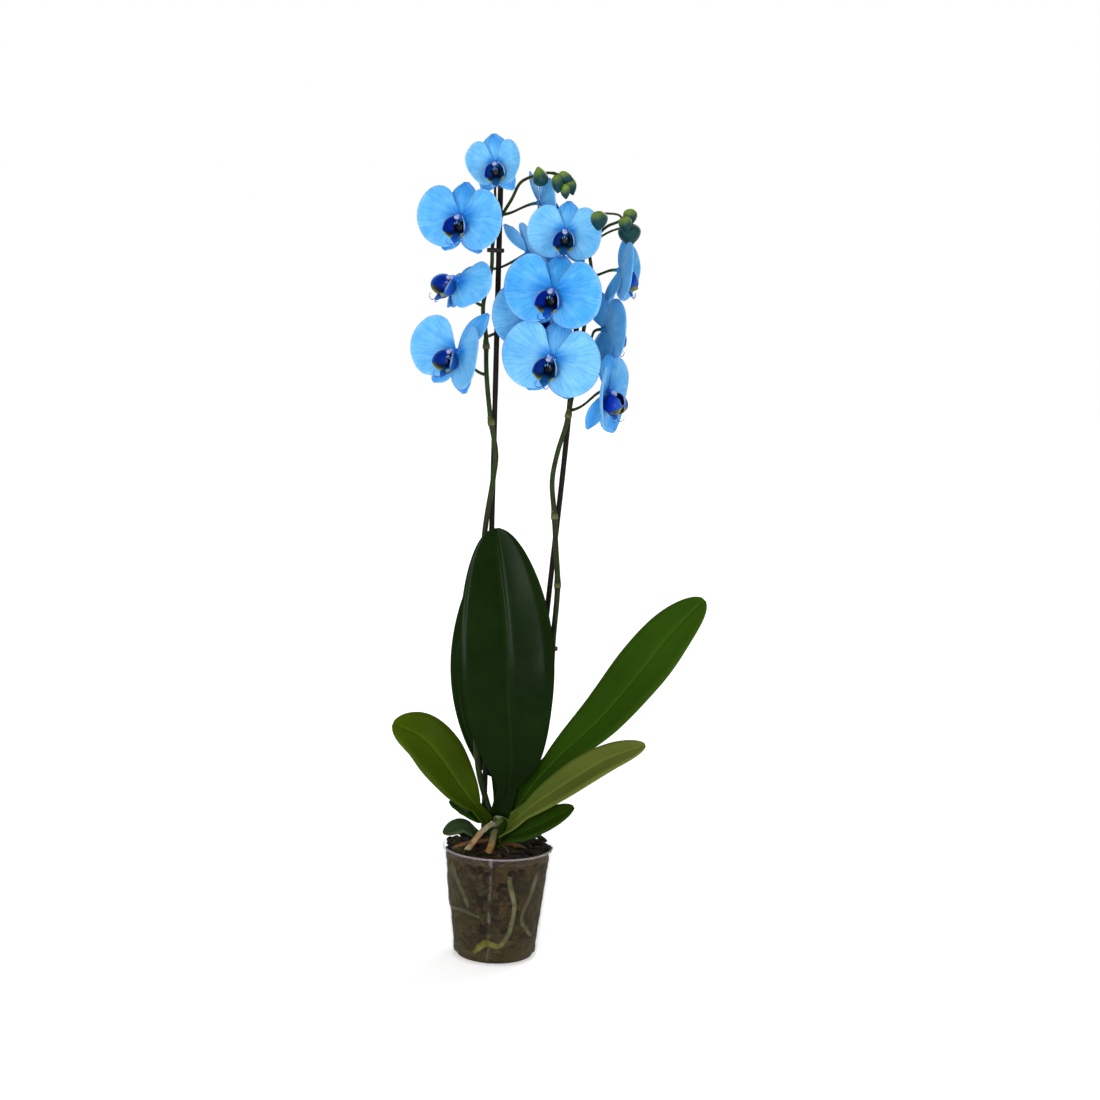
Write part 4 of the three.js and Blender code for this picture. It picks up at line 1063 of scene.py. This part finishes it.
def lobe_colour(bloom, side, u, v):
    """Black in the throat, royal blue up the lobe, olive at its foot, and a pale rim up towards the column;
    the black further up the right lobe is painted shade, its brighter rim a painted highlight
    """
    foot = 1 - ease(u, 0.24, 0.34)
    blue = blend(ROYAL, LIP_TEAL, bloom["pale"] * (0.9 if side > 0 else 0.35))
    blue = blend(blue, AZURE, 0.25 * ease(v, 0.6, 1))
    # The black runs further up the right lobe than the left: painted shade
    lit = ease(v, 0.25, 0.6) if side > 0 else ease(v, 0.06, 0.3)
    colour = blend(blend(NAVY, LIP_TEAL, 0.5 * bloom["pale"] ** 2), blue, lit * ease(u, 0.1, 0.34))
    colour = blend(colour, blend(OLIVE_BAND, OLIVE_TIP, ease(v, 0.65, 0.9)), foot * ease(v, 0.42, 0.66))
    # The pale rim is stronger on the right lobe: partly its own colour, partly a painted highlight
    return blend(colour, LAVENDER, (0.8 if side > 0 else 0.4) * ease(v, 0.93, 1) * ease(u, 0.35, 0.6))


def build_lip(name, bloom, frame_at):
    bm = new_mesh()
    for side in (-1, 1):
        def upward(u):
            return u if side > 0 else 1 - u
        add_sheet(bm, 30, 20, lambda u, v: frame_at @ lip_point(side, upward(u), v, bloom["closed"]),
                  lambda u, v: lobe_colour(bloom, side, upward(u), v))
    spine = Path(MIDLOBE_ROUTE)
    blue = blend(MIDLOBE, LIP_TEAL, 0.9 * bloom["pale"])

    def middle(u, v):
        across = 2 * u - 1
        reach = 0.0030 + 0.0036 * math.sin(math.pi * v ** 1.15) ** 0.9 - 0.0022 * v ** 2
        bend = 0.0022 * across ** 2 - 0.0008 * math.exp(-(across / 0.25) ** 2)
        return frame_at @ (spine.at(v) + Vector((across * reach, 0, -bend)))
    add_sheet(bm, 14, 20, middle, lambda u, v: blend(NAVY, blue, ease(v, 0.2, 0.55)))
    lip = finish_piece(f"{name}_lobes", bm, [LIP], [f"{name}_lip"])
    thicken(lip, LIP_THICKNESS * bloom["size"])


def build_throat(name, bloom, frame_at):
    bm = new_mesh()
    back = LIP_CENTRE - Vector((0, 0, LIP_REACH.z * 0.78))
    # A near-black ball at the back of the lip: its navy, darkened further as painted shade in the deep throat
    add_ball(bm, ellipsoid(frame_at, back, THROAT), lambda d: NAVY * 0.4)
    # Callus bumps, paler on their front: partly their own colour, partly a painted highlight
    for side in (-1, 0, 1):
        place = Vector((side * 0.0024, -0.0056 - 0.0012 * abs(side), 0.0085))
        add_ball(bm, ellipsoid(frame_at, place, CALLUS * (1 - 0.2 * abs(side))),
                 lambda d: blend(CALLUS_DARK, CALLUS_PALE_AND_HIGHLIGHT, ease(d.z, 0.3, 1)), 14, 10)
    for side in (-1, 1):
        tendril = Path([frame_at @ Vector((side * x, y, z)) for x, y, z in TENDRIL])
        add_tube(bm, tendril, lambda t: TENDRIL_RADIUS * bloom["size"] * (1 - 0.5 * t),
                 lambda t: TENDRIL_BLUE, 2, 22)
    finish_piece(f"{name}_throat", bm, [LIP], [f"{name}_lip"])


def build_column(name, bloom, frame_at):
    bm = new_mesh()
    rod = Path([frame_at @ Vector(dot) for dot in COLUMN_ROUTE])
    add_tube(bm, rod, lambda t: bloom["size"] * blend(0.0026, 0.0021, t),
             lambda t: blend(COLUMN_FOOT, LAVENDER, ease(t, 0.5, 0.95)), 5, 14)
    add_ball(bm, ellipsoid(frame_at, CAP, CAP_RADII), lambda d: blend(KNOB, CAP_SHADE, ease(-d.y, 0.1, 1)))
    finish_piece(f"{name}_rod", bm, [COLUMN], [f"{name}_column"])


for stem_side, blooms in BLOOMS.items():
    for bloom_number, bloom_form in enumerate(blooms, 1):
        bloom_name = f"bloom_{stem_side}_{bloom_number}"
        placed_at = bloom_matrix(bloom_form)
        build_tepals(bloom_name, bloom_form, placed_at)
        regrown = Matrix.Scale(bloom_form["size"] ** -0.5, 4)
        middle_at = placed_at @ turned(bloom_form["lip_turn"], "Y", 4) @ regrown
        build_lip(bloom_name, bloom_form, middle_at)
        build_throat(bloom_name, bloom_form, middle_at)
        build_column(bloom_name, bloom_form, middle_at)


# Buds: how far along the stem the twig leaves, where the bud begins and points, radius, length, how teal
BUDS = {
    "left": [(0.965, (0.0216, -0.010, 0.822), (0.0166, -0.012, 0.839), 0.0082, 0.0190, 0.2),
             (0.985, (0.037, -0.006, 0.831), (0.038, -0.008, 0.814), 0.0066, 0.018, 0.4),
             (0.985, (0.039, -0.004, 0.8325), (0.053, -0.005, 0.8285), 0.0056, 0.016, 0.2),
             (0.997, (0.049, 0.002, 0.829), (0.054, 0.004, 0.813), 0.0062, 0.017, 0.0),
             (0.997, (0.045, -0.004, 0.8225), (0.047, -0.006, 0.8065), 0.0054, 0.015, -0.2)],
    "right": [(0.985, (0.0815, -0.038, 0.7930), (0.0805, -0.038, 0.774), 0.0088, 0.0186, 0.4,
               (0.100, -0.020, 0.7935)),
              (0.990, (0.1135, 0.002, 0.8000), (0.1150, 0.002, 0.785), 0.0074, 0.0160, 0.1),
              (0.985, (0.1085, -0.008, 0.7910), (0.1110, -0.010, 0.776), 0.0072, 0.0165, 0.2),
              (0.930, (0.1125, 0.001, 0.784), (0.1155, 0.002, 0.765), 0.0120, 0.0215, 1.0)],
}
# The buds' yellow-green and dark teal, with light and shade painted from the upper left
BUD_GREEN_AND_LIT = rgb(132, 156, 56)
BUD_TEAL_AND_SHADED = rgb(12, 56, 60)


def stem_colour(place):
    patch = 0.5 + 0.5 * noise.noise(place * 40)
    return blend(blend(STEM_LOW, STEM_HIGH, ease(place.z, 0.4, 0.8)), STEM_DARK, 0.6 * patch)


def build_bud(side, number, joint, at, towards, radius, length, teal, via=None):
    """A bud, and the way of the twig that bears it, past the point via where that isn't straight"""
    axis = (Vector(towards) - Vector(at)).normalized()
    base = Vector(at) - axis * length * 0.1
    turn = axis.to_track_quat("Z", "Y").to_matrix()

    def shape(d):
        along = (1 + d.z) / 2 + 0.07 * math.exp(-((1 - d.z) / 0.08) ** 2)
        swell = 0.98 * math.sqrt(max(0, 1 - d.z ** 2)) * (1 - 0.22 * d.z)
        keel = 1 + 0.05 * math.cos(3 * math.atan2(d.y, d.x))
        outward = turn @ Vector((d.x, d.y, 0)).normalized()
        return base + outward * radius * swell * keel + axis * length * along

    def tint(d):
        # Yellow-green on the upper left, dark teal below and to the right: the buds' own colours, with
        # painted light and shade
        faced = turn @ d
        return blend(BUD_TEAL_AND_SHADED, BUD_GREEN_AND_LIT, ease(faced.z - 0.35 * faced.x - 0.7 * teal, -0.4, 1))
    bm = new_mesh()
    add_ball(bm, shape, tint, 24, 16)
    finish_piece(f"bud_{side}_{number}", bm, [BUD], [f"spike_{side}"])
    start = STEMS[side].at(joint)
    middle = via or start.lerp(base, 0.5) + Vector((0, 0, 0.001))
    return Path([start, middle, base + axis * length * 0.12])


def add_pedicel(bm, stem, bloom):
    """The flower stalk, from its node on the stem to the back of the hub"""
    start = stem.at_height(bloom["node"])
    back = -facing(bloom)
    end = Vector(bloom["at"]) + back * bloom["size"] * (HUB * 0.9)
    span = (end - start).length * 0.45
    leave = Vector(bloom["leave"]).normalized()
    path = Path(interpolate_bezier(start, start + leave * span, end + back * span * 0.8, end, 18), steps=2)
    add_tube(bm, path, lambda t: PEDICEL_RADIUS * (1.25 - 0.35 * math.sin(math.pi * t)),
             lambda t: blend(stem_colour(path.at(t)), TEAL, 0.5 * ease(t, 0.7, 1)), 4, 26)


def add_bract(bm, stem, joint):
    run = next(k for k, dot in enumerate(stem.dots) if dot.z > joint.z)
    up = (stem.dots[run] - stem.dots[run - 1]).normalized()
    path = Path([joint - up * 0.004, joint + up * 0.001, joint + up * 0.0056 + Vector((-0.0006, -0.0006, 0))])
    add_tube(bm, path, lambda t: STEM_RADIUS * blend(1.3, 0.9, ease(t, 0.3, 1)),
             lambda t: blend(BRACT, STEM_HIGH, ease(t, 0.2, 0.7)), 5, 10)


def build_spike(side):
    bm = new_mesh()
    stem = STEMS[side]
    joints = [stem.at_height(z) for z in RINGS[side]]

    def thick(t):
        place = stem.at(t)
        knot = sum(0.22 * math.exp(-((place - joint).length / 0.006) ** 2) for joint in joints)
        return STEM_RADIUS * (blend(1.1, STEM_TIP / STEM_RADIUS, t ** 2) + knot)
    add_tube(bm, stem, thick, lambda t: stem_colour(stem.at(t)), sides=5, steps=int(stem.runs[-1] / 0.003))
    for bloom in BLOOMS[side]:
        add_pedicel(bm, stem, bloom)
    for number, form in enumerate(BUDS[side]):
        twig = build_bud(side, number, *form)
        add_tube(bm, twig, lambda t: TWIG_RADIUS, lambda t: stem_colour(twig.at(t)), 3, 12)
    for joint in joints:
        add_bract(bm, stem, joint)
    finish_piece(f"stem_{side}", bm, [STEM], [f"spike_{side}"])


def build_stake(side):
    bm = new_mesh()
    path = STAKES[side]
    add_tube(bm, path, lambda t: STAKE_RADIUS * (1 + 0.05 * noise.noise(path.at(t) * 60)),
             lambda t: STAKE_COLOUR, sides=5, steps=160)
    finish_piece(f"cane_{side}", bm, [STAKE], [f"stake_{side}"])


# Clips: a small black loop round stem and stake, with two tabs
CLIPS = {"clip_left_low": ("left", 0.340), "clip_left_high": ("left", 0.754),
         "clip_right_low": ("right", 0.334), "clip_right_high": ("right", 0.612)}
CLIP_HEIGHT = 0.0042
CLIP_WALL = 0.0011
CLIP_GAP = 0.0012
CLIP_TAB = (0.0013, 0.0045, CLIP_HEIGHT)
CLIP_TAB_APART = 0.0016


def build_clip(name, side, z):
    stem = STEMS[side].at_height(z)
    stake = STAKES[side].at_height(z)
    across = Vector((stake.x - stem.x, stake.y - stem.y, 0))
    reach = STEM_RADIUS * 1.1 + CLIP_GAP + CLIP_WALL / 2
    way = math.atan2(across.y, across.x)
    loop = []
    for centre, start in ((stake, way - math.pi / 2), (stem, way + math.pi / 2)):
        for k in range(13):
            loop.append(Vector((centre.x, centre.y, z)) + polar(reach, start + math.pi * k / 12, 0))
    bm = new_mesh()
    add_curve(bm, loop, [1] * len(loop), CLIP_WALL / 2, 2, (CLIP_HEIGHT - CLIP_WALL) / 2, closed=True)
    front = -1 if stake.x > stem.x else 1
    for aside in (-CLIP_TAB_APART, CLIP_TAB_APART):
        spot = Matrix.Translation((stem.x, stem.y, z)) @ Matrix.Rotation(way, 4, "Z")
        spot = spot @ Matrix.Translation((across.length / 2 + aside, front * (reach + CLIP_TAB[1] * 0.4), 0))
        tab = bmesh.ops.create_cube(bm, size=1, matrix=spot @ Matrix.Diagonal((*CLIP_TAB, 1)))
        edges = list({edge for vert in tab["verts"] for edge in vert.link_edges})
        bmesh.ops.bevel(bm, geom=tab["verts"] + edges, offset=0.0004, segments=2, profile=0.5,
                        affect="EDGES", material=-1)
    finish_piece(f"{name}_loop", bm, [CLIP], [name])


for spike_side in STEMS:
    build_spike(spike_side)
    build_stake(spike_side)
for clip_name, clip_place in CLIPS.items():
    build_clip(clip_name, *clip_place)


# Studio: a pale floor, soft lamps with place, size and power, and a surround that is white behind the plant
LAMPS = {
    "key": ((-0.9, -2.6, 2.2), (1.6, 1.6), 17),
    "fill": ((2.0, -1.9, 1.1), (1.8, 1.8), 15),
    "rim": ((1.2, 1.8, 2.0), (1.4, 1.4), 26),
    "window": ((-0.38, -2.1, 0.5), (0.2, 1.5), 24),
}
AIM = Vector((0.03, 0, 0.45))
ZENITH_LEVEL = 0.34
FRONT_LEVEL = 0.75
FLOOR_GLOW = (0.5, 0.95)
FLOOR_FADE = 4.0


def build_floor():
    bm = bmesh.new()
    bmesh.ops.create_grid(bm, x_segments=1, y_segments=1, size=30)
    mesh = bpy.data.meshes.new("floor")
    bm.to_mesh(mesh)
    bm.free()
    floor = add_object("floor", mesh)
    ground = Finish("floor", base_color=(0.9, 0.9, 0.9, 1), roughness=0.9, specular_ior_level=0.1,
                    emission_strength=1.0)
    away = ground.node("ShaderNodeVectorMath", {"operation": "LENGTH"}, {0: ground.place()}, output=1)
    glow = ground.ramp(away / FLOOR_FADE, (0.08, FLOOR_GLOW[0]), (1.0, FLOOR_GLOW[1]))
    ground.join(glow, ground.shader.inputs["Emission Color"])
    mesh.materials.append(ground.material)


def build_surround():
    world = bpy.data.worlds.new("surround")
    bpy.context.scene.world = world
    world.use_nodes = True
    nodes, links = world.node_tree.nodes, world.node_tree.links
    place = nodes.new("ShaderNodeTexCoord")
    split = nodes.new("ShaderNodeSeparateXYZ")
    height = nodes.new("ShaderNodeMath")
    height.operation = "ABSOLUTE"
    total = nodes.new("ShaderNodeMath")
    total.operation = "MULTIPLY"
    links.new(place.outputs["Generated"], split.inputs["Vector"])
    links.new(split.outputs["Z"], height.inputs[0])
    for number, (way, stops) in enumerate(((height.outputs["Value"], ((0.2, 1.0), (0.5, ZENITH_LEVEL))),
                                           (split.outputs["Y"], ((0.3, FRONT_LEVEL), (0.75, 1.0))))):
        levels = nodes.new("ShaderNodeValToRGB")
        for element, (spot, level) in zip(levels.color_ramp.elements, stops):
            element.position = spot
            element.color = (level, level, level, 1)
        links.new(way, levels.inputs["Fac"])
        links.new(levels.outputs["Color"], total.inputs[number])
    links.new(total.outputs["Value"], nodes["Background"].inputs["Color"])


def build_lamps():
    for name, (place, size, power) in LAMPS.items():
        light = bpy.data.lights.new(name, "AREA")
        light.energy = power
        light.shape = "RECTANGLE"
        light.size, light.size_y = size
        lamp = add_object(name, light)
        lamp.location = place
        lamp.rotation_euler = (AIM - Vector(place)).to_track_quat("-Z", "Y").to_euler()


build_floor()
build_surround()
build_lamps()
bpy.context.scene.view_settings.view_transform = "Standard"
